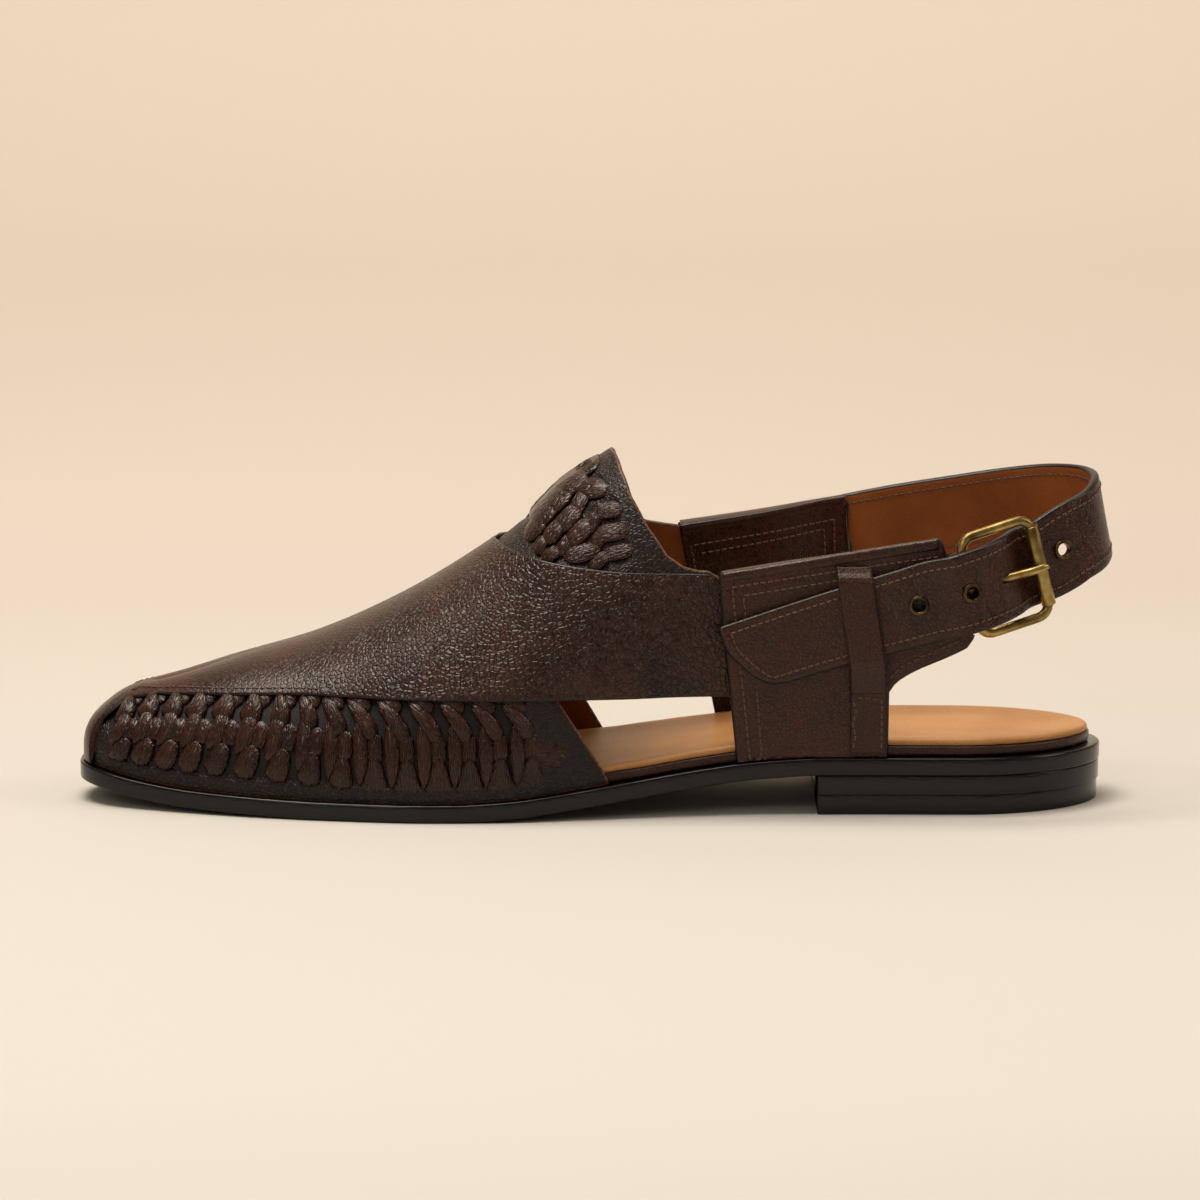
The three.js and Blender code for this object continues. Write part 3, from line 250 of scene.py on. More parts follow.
def find(x, z, side, offset=0.0):
    """Rib and v of the point that shows at x, z in side view once drawn out by the offset. The rib is
    found by halving, and the aim is then corrected by what the offset moved."""
    x, z, side = np.broadcast_arrays(np.asarray(x, float), np.asarray(z, float), side)
    aim_x, aim_z = x.copy(), z.copy()
    for _ in range(CORRECTIONS):
        low, high = np.full(x.shape, TOE), np.full(x.shape, LENGTH)
        for _ in range(HALVINGS):
            r = (low + high) / 2
            past = last(r, around(r, side, aim_z))[..., 0] > aim_x
            low, high = np.where(past, low, r), np.where(past, r, high)
        v = around(r, side, aim_z)
        place = drawn(r, v, offset + 0 * x)
        aim_x, aim_z = aim_x + x - place[..., 0], aim_z + z - place[..., 2]
    return r, v


# %% [markdown]
# ## From arrays to meshes
# A piece is a grid of points, and its faces join neighbours in the grid. One function puts arrays of points
# and faces into Blender. The shoe's own zero is the toe's tip, so its points are first shifted by the place
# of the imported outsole.

# %% From arrays to objects
MIDLINE = -0.22
outsole_box = np.array([list(corner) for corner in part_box("outsole")]) * 1000
SHIFT = np.array([outsole_box[0, 0], outsole_box[:, 1].mean() + MIDLINE, 0.0])
MATERIALS = {}


def grid_quads(rows, columns, start=0):
    """Quads that join a grid of points row by row."""
    k = start + np.arange(rows * columns).reshape(rows, columns)
    return np.stack([k[:-1, :-1], k[1:, :-1], k[1:, 1:], k[:-1, 1:]], -1).reshape(-1, 4)


def put(name, points, groups, nodes=(), uv=None):
    """A mesh object from points in millimetres and groups of quads, each with its material's name. A quad
    with a repeated corner becomes a triangle."""
    faces, looks = [], []
    for index, (quads, _) in enumerate(groups):
        quads = quads.reshape(-1, 4)
        same = quads == np.roll(quads, -1, axis=1)
        repeats = same.sum(1)
        triangles = quads[repeats == 1][~same[repeats == 1]].reshape(-1, 3)
        faces += quads[repeats == 0].tolist() + triangles.tolist()
        looks += [index] * (int((repeats == 0).sum()) + len(triangles))
    name = f"fine_{name}" if nodes else name
    mesh = bpy.data.meshes.new(name)
    mesh.from_pydata(((points + SHIFT) / 1000).tolist(), [], faces)
    for _, look in groups:
        mesh.materials.append(MATERIALS[look])
    mesh.polygons.foreach_set("material_index", looks)
    mesh.polygons.foreach_set("use_smooth", [True] * len(faces))
    if uv is not None:
        layer = mesh.uv_layers.new(name="along_and_across")
        corners = np.zeros(len(mesh.loops), int)
        mesh.loops.foreach_get("vertex_index", corners)
        layer.data.foreach_set("uv", (uv[corners] / 1000).ravel())
    mesh.validate()
    mesh.update()
    piece = bpy.data.objects.new(name, mesh)
    bpy.context.scene.collection.objects.link(piece)
    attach(piece, "root")
    if nodes:
        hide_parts(*nodes)
    print(f"{name}: {len(points)} points, {len(faces)} faces")
    return piece


# %% [markdown]
# Cut leather is two sheets with a burnished edge between them. An edge of a face that no other face shares
# is a border, so the rounded edge follows every outline and every hole without being told where it is.

# %% Cut leather
WELDS_PER_MM = 2000
EDGE_SHARES = np.array([0.07, 0.25, 0.5, 0.75, 0.93])[:, None, None]


def cut_leather(patches, face="grained", back="grained", edge="edge", roll=0.42):
    """Closed leather between two sheets. Each patch is a pair of grids, the face and the back. Points that
    meet are welded, and round every open border a half round edge joins the face to the back."""
    outer = np.concatenate([face_grid.reshape(-1, 3) for face_grid, _ in patches])
    inner = np.concatenate([back_grid.reshape(-1, 3) for _, back_grid in patches])
    starts = np.cumsum([0] + [grid.shape[0] * grid.shape[1] for grid, _ in patches])
    quads = np.concatenate([grid_quads(*grid.shape[:2], start) for (grid, _), start in zip(patches, starts)])
    cells = np.round(outer * WELDS_PER_MM).astype(np.int64)
    _, first, where = np.unique(cells, axis=0, return_index=True, return_inverse=True)
    outer, inner, quads = outer[first], inner[first], where.reshape(-1)[quads]
    count = len(outer)
    edges = np.concatenate([quads[:, [k, (k + 1) % 4]] for k in range(4)])
    edges = edges[edges[:, 0] != edges[:, 1]]
    lone = ~np.isin(edges[:, 0] * count + edges[:, 1], edges[:, 1] * count + edges[:, 0])
    a, b = edges[lone].T
    across = unit(outer - inner)
    run = unit(outer[b] - outer[a])
    out = np.zeros_like(outer)
    np.add.at(out, a, np.cross(run, across[a]))
    np.add.at(out, b, np.cross(run, across[b]))
    border = np.unique(np.concatenate([a, b]))
    slot_of = np.full(count, -1)
    slot_of[border] = np.arange(len(border))
    thick = np.linalg.norm(outer[border] - inner[border], axis=-1, keepdims=True)
    bulge = unit(out[border]) * roll * thick * np.sqrt(1 - (2 * EDGE_SHARES - 1) ** 2)
    rings = lerp(outer[border], inner[border], EDGE_SHARES) + bulge
    levels = [np.arange(count)]
    levels += [2 * count + ring * len(border) + slot_of for ring in range(len(EDGE_SHARES))]
    levels.append(np.arange(count) + count)
    edge_quads = [np.stack([low[b], low[a], high[a], high[b]], -1) for low, high in zip(levels, levels[1:])]
    points = np.concatenate([outer, inner, rings.reshape(-1, 3)])
    return points, [(quads, face), ((quads + count)[:, ::-1], back), (np.concatenate(edge_quads), edge)]


# %% [markdown]
# Wire, rolled edges, strips and stitches are skins over a row of sections. Many of them are made at once,
# as one array, and their ends are closed by fans.

# %% Skins over sections
def skins(sections, closed=False):
    """Skins over tubes of shape (tubes, sections, points, 3). The ends are closed by fans from their
    middles, unless each tube runs round and meets itself."""
    tubes, rows, around_it, _ = sections.shape
    k = np.arange(tubes * rows * around_it).reshape(tubes, rows, around_it)
    ring = np.roll(k, -1, axis=2)
    if closed:
        k_next, ring_next = np.roll(k, -1, axis=1), np.roll(ring, -1, axis=1)
        return sections.reshape(-1, 3), np.stack([k, ring, ring_next, k_next], -1).reshape(-1, 4)
    body = np.stack([k[:, :-1], ring[:, :-1], ring[:, 1:], k[:, 1:]], -1).reshape(-1, 4)
    middles = sections[:, [0, -1]].mean(2).reshape(-1, 3)
    hub = k.size + np.arange(2 * tubes).reshape(tubes, 2, 1) + np.zeros((1, 1, around_it), int)
    front = np.stack([hub[:, 0], ring[:, 0], k[:, 0], k[:, 0]], -1).reshape(-1, 4)
    back = np.stack([hub[:, 1], k[:, -1], ring[:, -1], ring[:, -1]], -1).reshape(-1, 4)
    return np.concatenate([sections.reshape(-1, 3), middles]), np.concatenate([body, front, back])


def joined(parts):
    """Several parts, each with points and groups, as one."""
    starts = np.cumsum([0] + [len(points) for points, _ in parts])
    groups = [(quads + start, look) for (_, looks), start in zip(parts, starts) for quads, look in looks]
    return np.concatenate([points for points, _ in parts]), groups


def circle(count):
    """Cosines and sines round a circle."""
    turn = np.arange(count) * 2 * np.pi / count
    return np.cos(turn), np.sin(turn)


# %% [markdown]
# ## Materials
# Each finish starts from the real one. One function turns an sRGB hex colour to linear, and one adds a
# node with its settings and links. Pattern sizes are in millimetres on Object coordinates in metres.

# %% Colour and node helpers
def colour(code):
    """Linear RGBA from an sRGB hex value."""
    values = [int(code[i:i + 2], 16) / 255 for i in (1, 3, 5)]
    return [v / 12.92 if v <= 0.04045 else ((v + 0.055) / 1.055) ** 2.4 for v in values] + [1.0]


def per_mm(size):
    """Scale of a pattern whose cells measure size millimetres, on coordinates in metres."""
    return 1000 / size


def add(tree, kind, settings=None, **links):
    """Adds a node: settings are its properties, and links are input values or other nodes' outputs."""
    node = tree.nodes.new(kind)
    for key, value in (settings or {}).items():
        setattr(node, key, value)
    for key, value in links.items():
        socket = node.inputs[int(key[1:])] if key[1:].isdigit() else node.inputs[key.replace("_", " ")]
        if isinstance(value, bpy.types.NodeSocket):
            tree.links.new(value, socket)
        else:
            socket.default_value = value
    return node


def new_material(name):
    """An empty node material and its tree."""
    material = bpy.data.materials.new(name)
    material.use_nodes = True
    material.node_tree.nodes.clear()
    MATERIALS[name] = material
    return material.node_tree


def finish(tree, **links):
    """The shader and the output that end each material."""
    shader = add(tree, "ShaderNodeBsdfPrincipled", **links)
    add(tree, "ShaderNodeOutputMaterial", Surface=shader.outputs["BSDF"])


def ramp(tree, factor, stops):
    """Colour ramp with stops of position and colour."""
    node = add(tree, "ShaderNodeValToRGB", Fac=factor)
    elements = node.color_ramp.elements
    while len(elements) < len(stops):
        elements.new(0.5)
    for element, (position, code) in zip(elements, stops):
        element.position = position
        element.color = colour(code)
    return node.outputs["Color"]


# %% [markdown]
# The uppers are full grain leather, drum dyed espresso brown and tumbled, so that it shrinks into pebbles
# with creases between them. Voronoi cells give the pebbles: the distance to a cell's border is low in
# the creases. A soft noise bends them, and a slow noise changes colour and gloss over the hide.

# %% Leather
SMOOTH_STEP = {"interpolation_type": "SMOOTHSTEP"}
TOE_CALM, VAMP_GRAINED, CREASE_WANDER = -0.11, -0.035, 0.0009


def leather(name, dark, light, grain, depth, rough=(0.34, 0.52), stretch=(1, 1, 1), coordinates="Object",
            crease_shade="#9a8f8a", soft=0.24, calm_toe=1.0):
    """Grained leather. grain is a pebble's size and depth the creases' depth, both in millimetres, the
    crease colour multiplies the colour in the creases as painted shade, and calm_toe is the share of the
    depth that is left at the toe, where the hide is stretched hardest over the last. stretch draws the
    pebbles out along an axis, and soft is how far a crease's slope reaches into its pebble."""
    tree = new_material(name)
    places = add(tree, "ShaderNodeTexCoord").outputs
    place = places[coordinates]
    slow = add(tree, "ShaderNodeTexNoise", Vector=place, Scale=per_mm(22), Detail=3.0).outputs["Fac"]
    wobble = add(tree, "ShaderNodeTexNoise", Vector=place, Scale=per_mm(2.2 * grain), Detail=1.0)
    bent = add(tree, "ShaderNodeVectorMath", {"operation": "MULTIPLY_ADD"},
               _0=wobble.outputs["Color"], _1=(grain * CREASE_WANDER,) * 3, _2=place)
    laid = add(tree, "ShaderNodeMapping", Vector=bent.outputs[0], Scale=stretch).outputs[0]
    pebbles = add(tree, "ShaderNodeTexVoronoi", {"feature": "DISTANCE_TO_EDGE"},
                  Vector=laid, Scale=per_mm(grain))
    hills = add(tree, "ShaderNodeMapRange", SMOOTH_STEP, Value=pebbles.outputs["Distance"], From_Max=soft)
    fine = add(tree, "ShaderNodeTexNoise", Vector=laid, Scale=per_mm(0.9 * grain), Detail=1.0).outputs["Fac"]
    height = add(tree, "ShaderNodeMath", {"operation": "MULTIPLY_ADD"}, _0=fine, _1=0.35, _2=hills.outputs[0])
    length = add(tree, "ShaderNodeSeparateXYZ", Vector=places["Object"]).outputs["X"]
    calm = add(tree, "ShaderNodeMapRange", SMOOTH_STEP, Value=length,
               From_Min=TOE_CALM, From_Max=VAMP_GRAINED, To_Min=calm_toe, To_Max=1.0)
    calmed = add(tree, "ShaderNodeMath", {"operation": "MULTIPLY"}, _0=height.outputs[0], _1=calm.outputs[0])
    bump = add(tree, "ShaderNodeBump", Height=calmed.outputs[0], Strength=1.0, Distance=depth / 1000)
    shade = ramp(tree, slow, [(0.3, dark), (0.72, light)])
    # Painted shade: the colour is darkened in the creases, by the share that a point lies down in them
    crease_shade_share = add(tree, "ShaderNodeMath", {"operation": "SUBTRACT"}, _0=1.0, _1=hills.outputs[0])
    crease_shaded = add(tree, "ShaderNodeMix", {"data_type": "RGBA", "blend_type": "MULTIPLY"},
                  _0=crease_shade_share.outputs[0], _6=shade, _7=colour(crease_shade))
    gloss = add(tree, "ShaderNodeMapRange", Value=slow, To_Min=rough[0], To_Max=rough[1])
    finish(tree, Base_Color=crease_shaded.outputs[2], Roughness=gloss.outputs[0], IOR=1.38, Normal=bump.outputs[0])


leather("grained", "#2b140a", "#432213", grain=1.45, depth=0.15, rough=(0.22, 0.34), calm_toe=0.3)
# The tongue leather is a darker copy of the grained leather: its extra darkness is painted shade
leather("tongue", "#190b06", "#27130a", grain=1.3, depth=0.13, rough=(0.34, 0.46))
leather("strap_grain", "#35180c", "#4d2615", grain=1.05, depth=0.07, rough=(0.22, 0.34))
leather("plaited", "#2b130a", "#412011", grain=0.62, depth=0.13, rough=(0.2, 0.33), stretch=(0.16, 1, 1),
        coordinates="UV")
leather("smooth", "#35180c", "#472313", grain=0.9, depth=0.04, rough=(0.22, 0.35))
# Near black leather for the sheet behind the band's strips: painted shade in the gaps between them
leather("shade_sheet", "#0a0605", "#120b09", grain=0.9, depth=0.05, rough=(0.6, 0.7))
leather("edge", "#1a0d08", "#26140d", grain=1.2, depth=0.03, rough=(0.26, 0.36))
leather("cut_edge", "#5a3622", "#7d5236", grain=1.2, depth=0.02, rough=(0.35, 0.45))
leather("lining", "#7d4218", "#965622", grain=1.1, depth=0.012, rough=(0.5, 0.6), crease_shade="#f4efec")
leather("insole_leather", "#ab743f", "#bf8c56", grain=1.4, depth=0.008, rough=(0.4, 0.5), crease_shade="#f6f2ef")
leather("sole_side", "#0a0707", "#110c0b", grain=3.2, depth=0.01, rough=(0.13, 0.2), stretch=(0.25, 0.25, 2))
print("leathers:", sorted(MATERIALS))

# %% [markdown]
# The buckle is cast brass with an antique finish: it was darkened in a bath and then rubbed, so its
# raised places shine yellow and its hollows stay brown. The thread is waxed polyester in the leather's
# colour. Both are plain shaders, broken up by noise.

# %% Brass and thread
def brass(name, tarnish, bright):
    """Antique brass: patches of brown tarnish over a satin metal."""
    tree = new_material(name)
    place = add(tree, "ShaderNodeTexCoord").outputs["Object"]
    patches = add(tree, "ShaderNodeTexNoise", Vector=place, Scale=per_mm(5), Detail=5.0).outputs["Fac"]
    grit = add(tree, "ShaderNodeTexNoise", Vector=place, Scale=per_mm(0.5), Detail=2.0).outputs["Fac"]
    tone = ramp(tree, patches, [(0.32, tarnish), (0.66, bright)])
    dull = add(tree, "ShaderNodeMapRange", Value=patches, To_Min=0.42, To_Max=0.24)
    bump = add(tree, "ShaderNodeBump", Height=grit, Strength=0.5, Distance=0.00004)
    finish(tree, Base_Color=tone, Metallic=1.0, Roughness=dull.outputs[0], Normal=bump.outputs[0])


def thread():
    """Waxed thread: fine noise breaks each stitch into plies."""
    tree = new_material("thread")
    place = add(tree, "ShaderNodeTexCoord").outputs["Object"]
    plies = add(tree, "ShaderNodeTexNoise", Vector=place, Scale=per_mm(0.25), Detail=1.0).outputs["Fac"]
    bump = add(tree, "ShaderNodeBump", Height=plies, Strength=0.6, Distance=0.00005)
    tone = ramp(tree, plies, [(0.25, "#3b2318"), (0.8, "#6f4c38")])
    finish(tree, Base_Color=tone, Roughness=0.45, Normal=bump.outputs[0])


brass("brass", "#66512a", "#b39a5e")
brass("dark_brass", "#2c231a", "#6d5a3a")
thread()

# %% [markdown]
# ## Sole
# Leather sole layers are cut from one outline, glued up and trimmed together, and their edges are inked
# and ironed to a shine. Each layer is a stack of rings: the outline drawn in or out by a small profile,
# so that its arrises are really round and catch a thin line of light.

# %% Outsole, heel, rim and insole
SOLE_STATIONS = (1 - np.cos(np.pi * np.linspace(0, 1, 261))) / 2
HEEL_STATIONS = np.sin(np.pi / 2 * np.linspace(0, 1, 121))


def slab(rings, stations=SOLE_STATIONS, start=0.0):
    """A layer of the sole. Each ring is an inset and a height, both functions of x. Its two sides make
    one loop, the rings are joined, and the first and last are closed across the shoe."""
    loops = []
    for inset, height in rings:
        front = max(start, float(inset(0.0)))
        x = lerp(front, LENGTH - float(inset(LENGTH)), stations)
        outer, inner = (side * half_width(x, side, inset(x)) for side in (-1, 1))
        half_loops = [np.stack([x, y, height(x) + 0 * x], -1) for y in (outer, inner)]
        loops.append(np.concatenate([half_loops[0], half_loops[1][::-1]]))
    loops = np.array(loops)
    rows, count = loops.shape[:2]
    k = np.arange(rows * count).reshape(rows, count)
    side = np.roll(k, -1, axis=1)
    walls = np.stack([k[:-1], side[:-1], side[1:], k[1:]], -1).reshape(-1, 4)
    half = count // 2
    across = np.stack([k[:, :half - 1], k[:, 1:half], k[:, -2:half - 1:-1], k[:, -1:half:-1]], -1)
    return loops.reshape(-1, 3), walls, across[0][:, ::-1], across[-1]


def constant(value):
    """A function of x that is the same everywhere."""
    return lambda x: value + 0 * x


def layer(bottom, top, inset, arris=0.5):
    """Rings of a sole layer with rounded arrises."""
    turn = np.radians(np.linspace(0, 90, 5))
    low = [(arris * (1 - math.sin(t)), arris * (1 - math.cos(t))) for t in turn]
    rings = [(lambda x, d=d: inset(x) + d, lambda x, h=h: bottom(x) + h) for d, h in low]
    rings.append((inset, lambda x: (bottom(x) + top(x)) / 2))
    rings += [(lambda x, d=d: inset(x) + d, lambda x, h=h: top(x) - h) for d, h in reversed(low)]
    return rings


def rim_inset(x):
    """The rim stands inside the upper at the front and comes out to the quarters' line behind."""
    front, rear = FOREFOOT_LEDGE + WALL + 2 * GAP, QUARTER_LEDGE - GAP - SADDLE_THICKNESS
    return lerp(front, rear, smoothstep(x, OPENING_BOTTOM + 2, OPENING_BOTTOM + 12))


def rim_top(x):
    """Height of the rim, on which the insole lies."""
    return sole_top(x) + GAP + RIM_THICKNESS


def sole_piece(name, rings, looks, slot, **stations):
    """A sole layer as a piece, with materials for its side, its underside and its upper face."""
    points, walls, bottom, top = slab(rings, **stations)
    return put(name, points, [(walls, looks[0]), (bottom, looks[1]), (top, looks[2])], [name])


sole_piece("outsole", layer(underside, sole_top, constant(0.0), 0.7), ["sole_side"] * 3, "sole_edge")
for node, low, high in (("heel_top_piece", 0.0, TOP_PIECE), ("heel_lift", TOP_PIECE, HEEL_HEIGHT)):
    taper = HEEL_TAPER * (1 - (low + high) / 2 / HEEL_HEIGHT)
    rings = layer(constant(low), constant(high), constant(taper), 0.22)
    sole_piece(node, rings, ["sole_side"] * 3, "sole_edge", stations=HEEL_STATIONS, start=BREAST)
rim_rings = layer(lambda x: sole_top(x) + GAP, rim_top, rim_inset, 0.6)
sole_piece("footbed_rim", rim_rings, ["smooth"] * 3, "dark_leather")


INSOLE_PROFILE = table("inward rise", [
    (0, 0), (0, 0.9), (0.15, 1.4), (0.6, 1.75), (1.4, INSOLE_THICKNESS), (3, 1.78), (5, 1.6), (8, 1.28),
    (12, 1.07), (17, INSOLE_THICKNESS - INSOLE_DISH),
])


def insole_rings():
    """The insole's rings: up a thin edge, over its arris and down into the dish that the foot presses."""
    insets = [lambda x, d=d: rim_inset(x) + INSOLE_INSET + d for d in INSOLE_PROFILE["inward"]]
    heights = [lambda x, h=h: rim_top(x) + GAP + h for h in INSOLE_PROFILE["rise"]]
    return list(zip(insets, heights))


sole_piece("insole", insole_rings(), ["insole_leather"] * 3, "tan_leather")

# %% [markdown]
# ## Upper wall
# The vamp, the tongue and the sides are one wall on the last. On each side it has two patches that meet at
# the height of the band's top: the band below, cut slanting at its rear, and above it the instep, which
# ends at the tongue's tip and the collar line. The back of the leather shows tan.

# %% Collar line and patches of the wall
COLLAR = {
    -1: table("at height", [
        (0.5185, 1.02), (0.5285, 0.957), (0.538, 0.891), (0.553, 0.815), (0.573, 0.73), (0.59, 0.695),
        (0.605, 0.684), (0.613, 0.684), (0.6265, 0.66), (0.7, 0.66),
    ]),
    1: table("at height", [
        (0.5185, 1.02), (0.524, 0.953), (0.532, 0.88), (0.541, 0.8), (0.553, 0.757), (0.587, 0.742),
        (0.596, 0.715), (0.7, 0.715),
    ]),
}


def resampled(points, count):
    """A polyline resampled to equal steps of its own length."""
    run = np.concatenate([[0], np.cumsum(np.linalg.norm(np.diff(points, axis=0), axis=1))])
    wanted = np.linspace(0, run[-1], count)
    return np.stack([np.interp(wanted, run, column) for column in points.T], -1)


def interface(x, side):
    """The v at which the band's patch meets the instep's."""
    _, top, _, _ = rib(x, side)
    return around(x, side, np.minimum(BAND_TOP, 0.7 * top[..., 2]))


RIB_GIRTH, COLLAR_STEPS = 40, 60


def upper_patches(side):
    """Band and instep patches of one side, as grids of rib and v. The collar line is resampled by its
    length, for which half a rib counts as RIB_GIRTH millimetres."""
    shared = lerp(TOE, OPENING_TOP, np.linspace(0, 1, 90) ** 1.4)
    share = ((shared - TOE) / (OPENING_TOP - TOE))[:, None]
    t = np.linspace(0, 1, 30)[None, :]
    band_x = lerp(TOE, lerp(OPENING_BOTTOM, OPENING_TOP, t), share)
    band_v = lerp(side + 0 * band_x, interface(band_x, side), t)
    low_x = np.concatenate([shared, np.linspace(OPENING_TOP, SIDE_END, 60)[1:]])
    low_v = interface(low_x, side)
    line = COLLAR[side]
    collar_x, collar_v = find(line["at"] * LENGTH, line["height"] * INSTEP_HEIGHT, side)
    keep = collar_x < SIDE_END
    rim = np.stack([collar_x[keep], collar_v[keep] * RIB_GIRTH], -1)
    rim = np.concatenate([rim, [[SIDE_END, float(np.interp(SIDE_END, collar_x, collar_v)) * RIB_GIRTH]]])
    rim = resampled(rim, COLLAR_STEPS)
    front = lerp(TOE, rim[0, 0], np.linspace(0, 1, len(low_x) - COLLAR_STEPS + 1) ** 1.3)[:-1]
    high_x = np.concatenate([front, rim[:, 0]])
    high_v = np.concatenate([0 * front, rim[:, 1] / RIB_GIRTH])
    t = np.linspace(0, 1, 40)[None, :]
    instep_x = lerp(low_x[:, None], high_x[:len(low_x), None], t)
    instep_v = lerp(low_v[:, None], high_v[:len(low_x), None], t)
    return [(band_x, band_v), (instep_x, instep_v)]


def facing_out(grid, side):
    """Grids of the inner side run the other way round the shoe, so their columns are turned."""
    return grid[:, ::-1] if side > 0 else grid


def on_last(side, x, v, outside, inside):
    """The two sheets of a patch: the last drawn out by the offset of its face and of its back."""
    return tuple(facing_out(drawn(x, v, offset + 0 * x), side) for offset in (outside, inside))


# %% [markdown]
# The wall is skived, or pared down, under every plaited strip. So the strips' places on the tongue come
# first: each has the middle of the strip, its length in pitches, its slant in degrees and its half width.

# %% Vamp, tongue and lining side
SKIVE = 0.9
TONGUE = table("at height long slant wide rise", [
    (0.4462, 0.79, 0.9, 46, 1.6, 1.0), (0.4545, 0.83, 1.1, 44, 2.2, 1.3), (0.4675, 0.868, 1.2, 42, 2.2, 1.3),
    (0.4805, 0.912, 1.3, 34, 2.4, 1.5), (0.493, 0.958, 1.2, 30, 2.3, 1.4), (0.452, 0.752, 0.6, 60, 1.5, 0.9),
    (0.4655, 0.79, 0.9, 46, 1.9, 1.2), (0.479, 0.826, 1.0, 44, 2.1, 1.3), (0.4895, 0.868, 0.8, 60, 1.7, 0.9),
    (0.5025, 0.905, 1.0, 10, 2.2, 1.2), (0.4625, 0.732, 0.7, 30, 1.6, 1.0),
    (0.4765, 0.758, 0.8, 50, 1.7, 0.9), (0.4895, 0.79, 1.1, 44, 2.2, 1.4),
    (0.503, 0.822, 0.8, 60, 1.7, 0.9), (0.5165, 0.853, 1.0, 6, 2.1, 1.2),
    (0.4925, 0.737, 1.2, 16, 2.2, 1.3), (0.509, 0.778, 0.8, 55, 1.7, 0.9), (0.5215, 0.795, 1.1, 10, 2.2, 1.2),
    (0.5085, 0.716, 0.8, 42, 1.7, 1.1), (0.5275, 0.742, 1.0, 12, 1.9, 1.0),
])


def under_weave(x, v):
    """Depth to which the wall is skived under the plaited strips, so that the gaps between them are dark:
    all along the band, and in the tongue wherever a strip's middle is near."""
    place = last(x, v)
    share = (place[..., 2] - sole_top(place[..., 0])) / (BAND_TOP - sole_top(place[..., 0]))
    along_band = smoothstep(place[..., 0], 6, 12) * (1 - smoothstep(place[..., 0], 131, 135))
    band = along_band * smoothstep(share, 0.14, 0.2) * (1 - smoothstep(share, 0.96, 1.04))
    strips = np.stack([TONGUE["at"] * LENGTH, TONGUE["height"] * INSTEP_HEIGHT], -1)
    away = np.linalg.norm(place[..., None, [0, 2]] - strips, axis=-1).min(-1)
    return -SKIVE * np.maximum(band, 1 - smoothstep(away, 2.8, 4.4))


wall_patches = [(side, x, v) for side in (-1, 1) for x, v in upper_patches(side)]
wall_sheets = [on_last(side, x, v, under_weave(x, v), -WALL) for side, x, v in wall_patches]
# The wall's face is the darker tongue leather, which paints shade over the tongue
points, groups = cut_leather(wall_sheets, "tongue", "lining", "cut_edge")
put("woven_upper", points, groups, ["woven_upper"])

# %% [markdown]
# ## Weave
# The band is slit into strips at the top, and the strips are plaited over one another: an upright row, a
# slanting row above it, cross strips that show between them as small cushions, and teeth left standing in
# the border below. Over the toe the pattern turns, so the strips lean forward and the teeth round off.

# %% Saddle's lower edge and the places of the strips
BAND_SHARES = 30
EDGE_LINE = table("at height", [
    (0.013, 0.36), (0.0136, 0.55), (0.0222, 0.69), (0.0337, 0.77), (0.0516, 0.87), (0.084, 0.923),
    (0.15, 0.961), (0.24, 1), (0.45, 1), (0.64, 0.99), (0.68, 0.99),
])
saddle_edge = through(EDGE_LINE["at"] * LENGTH, EDGE_LINE["height"] * BAND_TOP)
UNIT_AT = np.array([12, 19, 26.3, 33.5, 41.5, 50, 58.9, 67.6, 76.2, 85.2, 94.6, 104, 113.1, 122.2, 131.4])

# Ends of a strip behind the toe and over it, in pitches from its unit and shares of the band's height,
# then its half width at the start, middle and end, its rise, and how far its middle bows, in millimetres
STRIP = "u0 h0 u1 h1 toe_u0 toe_h0 toe_u1 toe_h1 wide0 wide1 wide2 rise bow open"
STRIPS = table(STRIP, [
    (-0.42, 1.03, 0.3, 0.88, 0.5, 1.04, 1.0, 0.9, 1.9, 2.3, 2.2, 0.9, 0.0, 0),
    (0.47, 0.66, 0.5, 0.36, 0.82, 0.74, 0.42, 0.5, 2.3, 2.5, 2.3, 0.9, 0.0, 0),
    (0.5, 0.43, 0.5, 0.1, 0.45, 0.52, -0.1, 0.18, 1.9, 3.2, 4.6, 1.5, 0.0, 1),
    (-0.08, 0.76, 0.02, 0.13, 0.45, 0.84, -0.22, 0.44, 1.3, 2.35, 0.8, 1.75, 0.7, 0),
    (-0.42, 0.95, 0.47, 0.6, 0.62, 1.0, 0.1, 0.74, 1.6, 2.4, 2.9, 1.9, 0.7, 0),
])


# %% [markdown]
# A strip is a cushion: flat below, domed above, and rounded off at its ends. It is drawn in side view and
# then laid on the last, so it wraps round the toe by itself. All strips of a side are one array.

# %% Cushioned strips
SUNK = -0.8


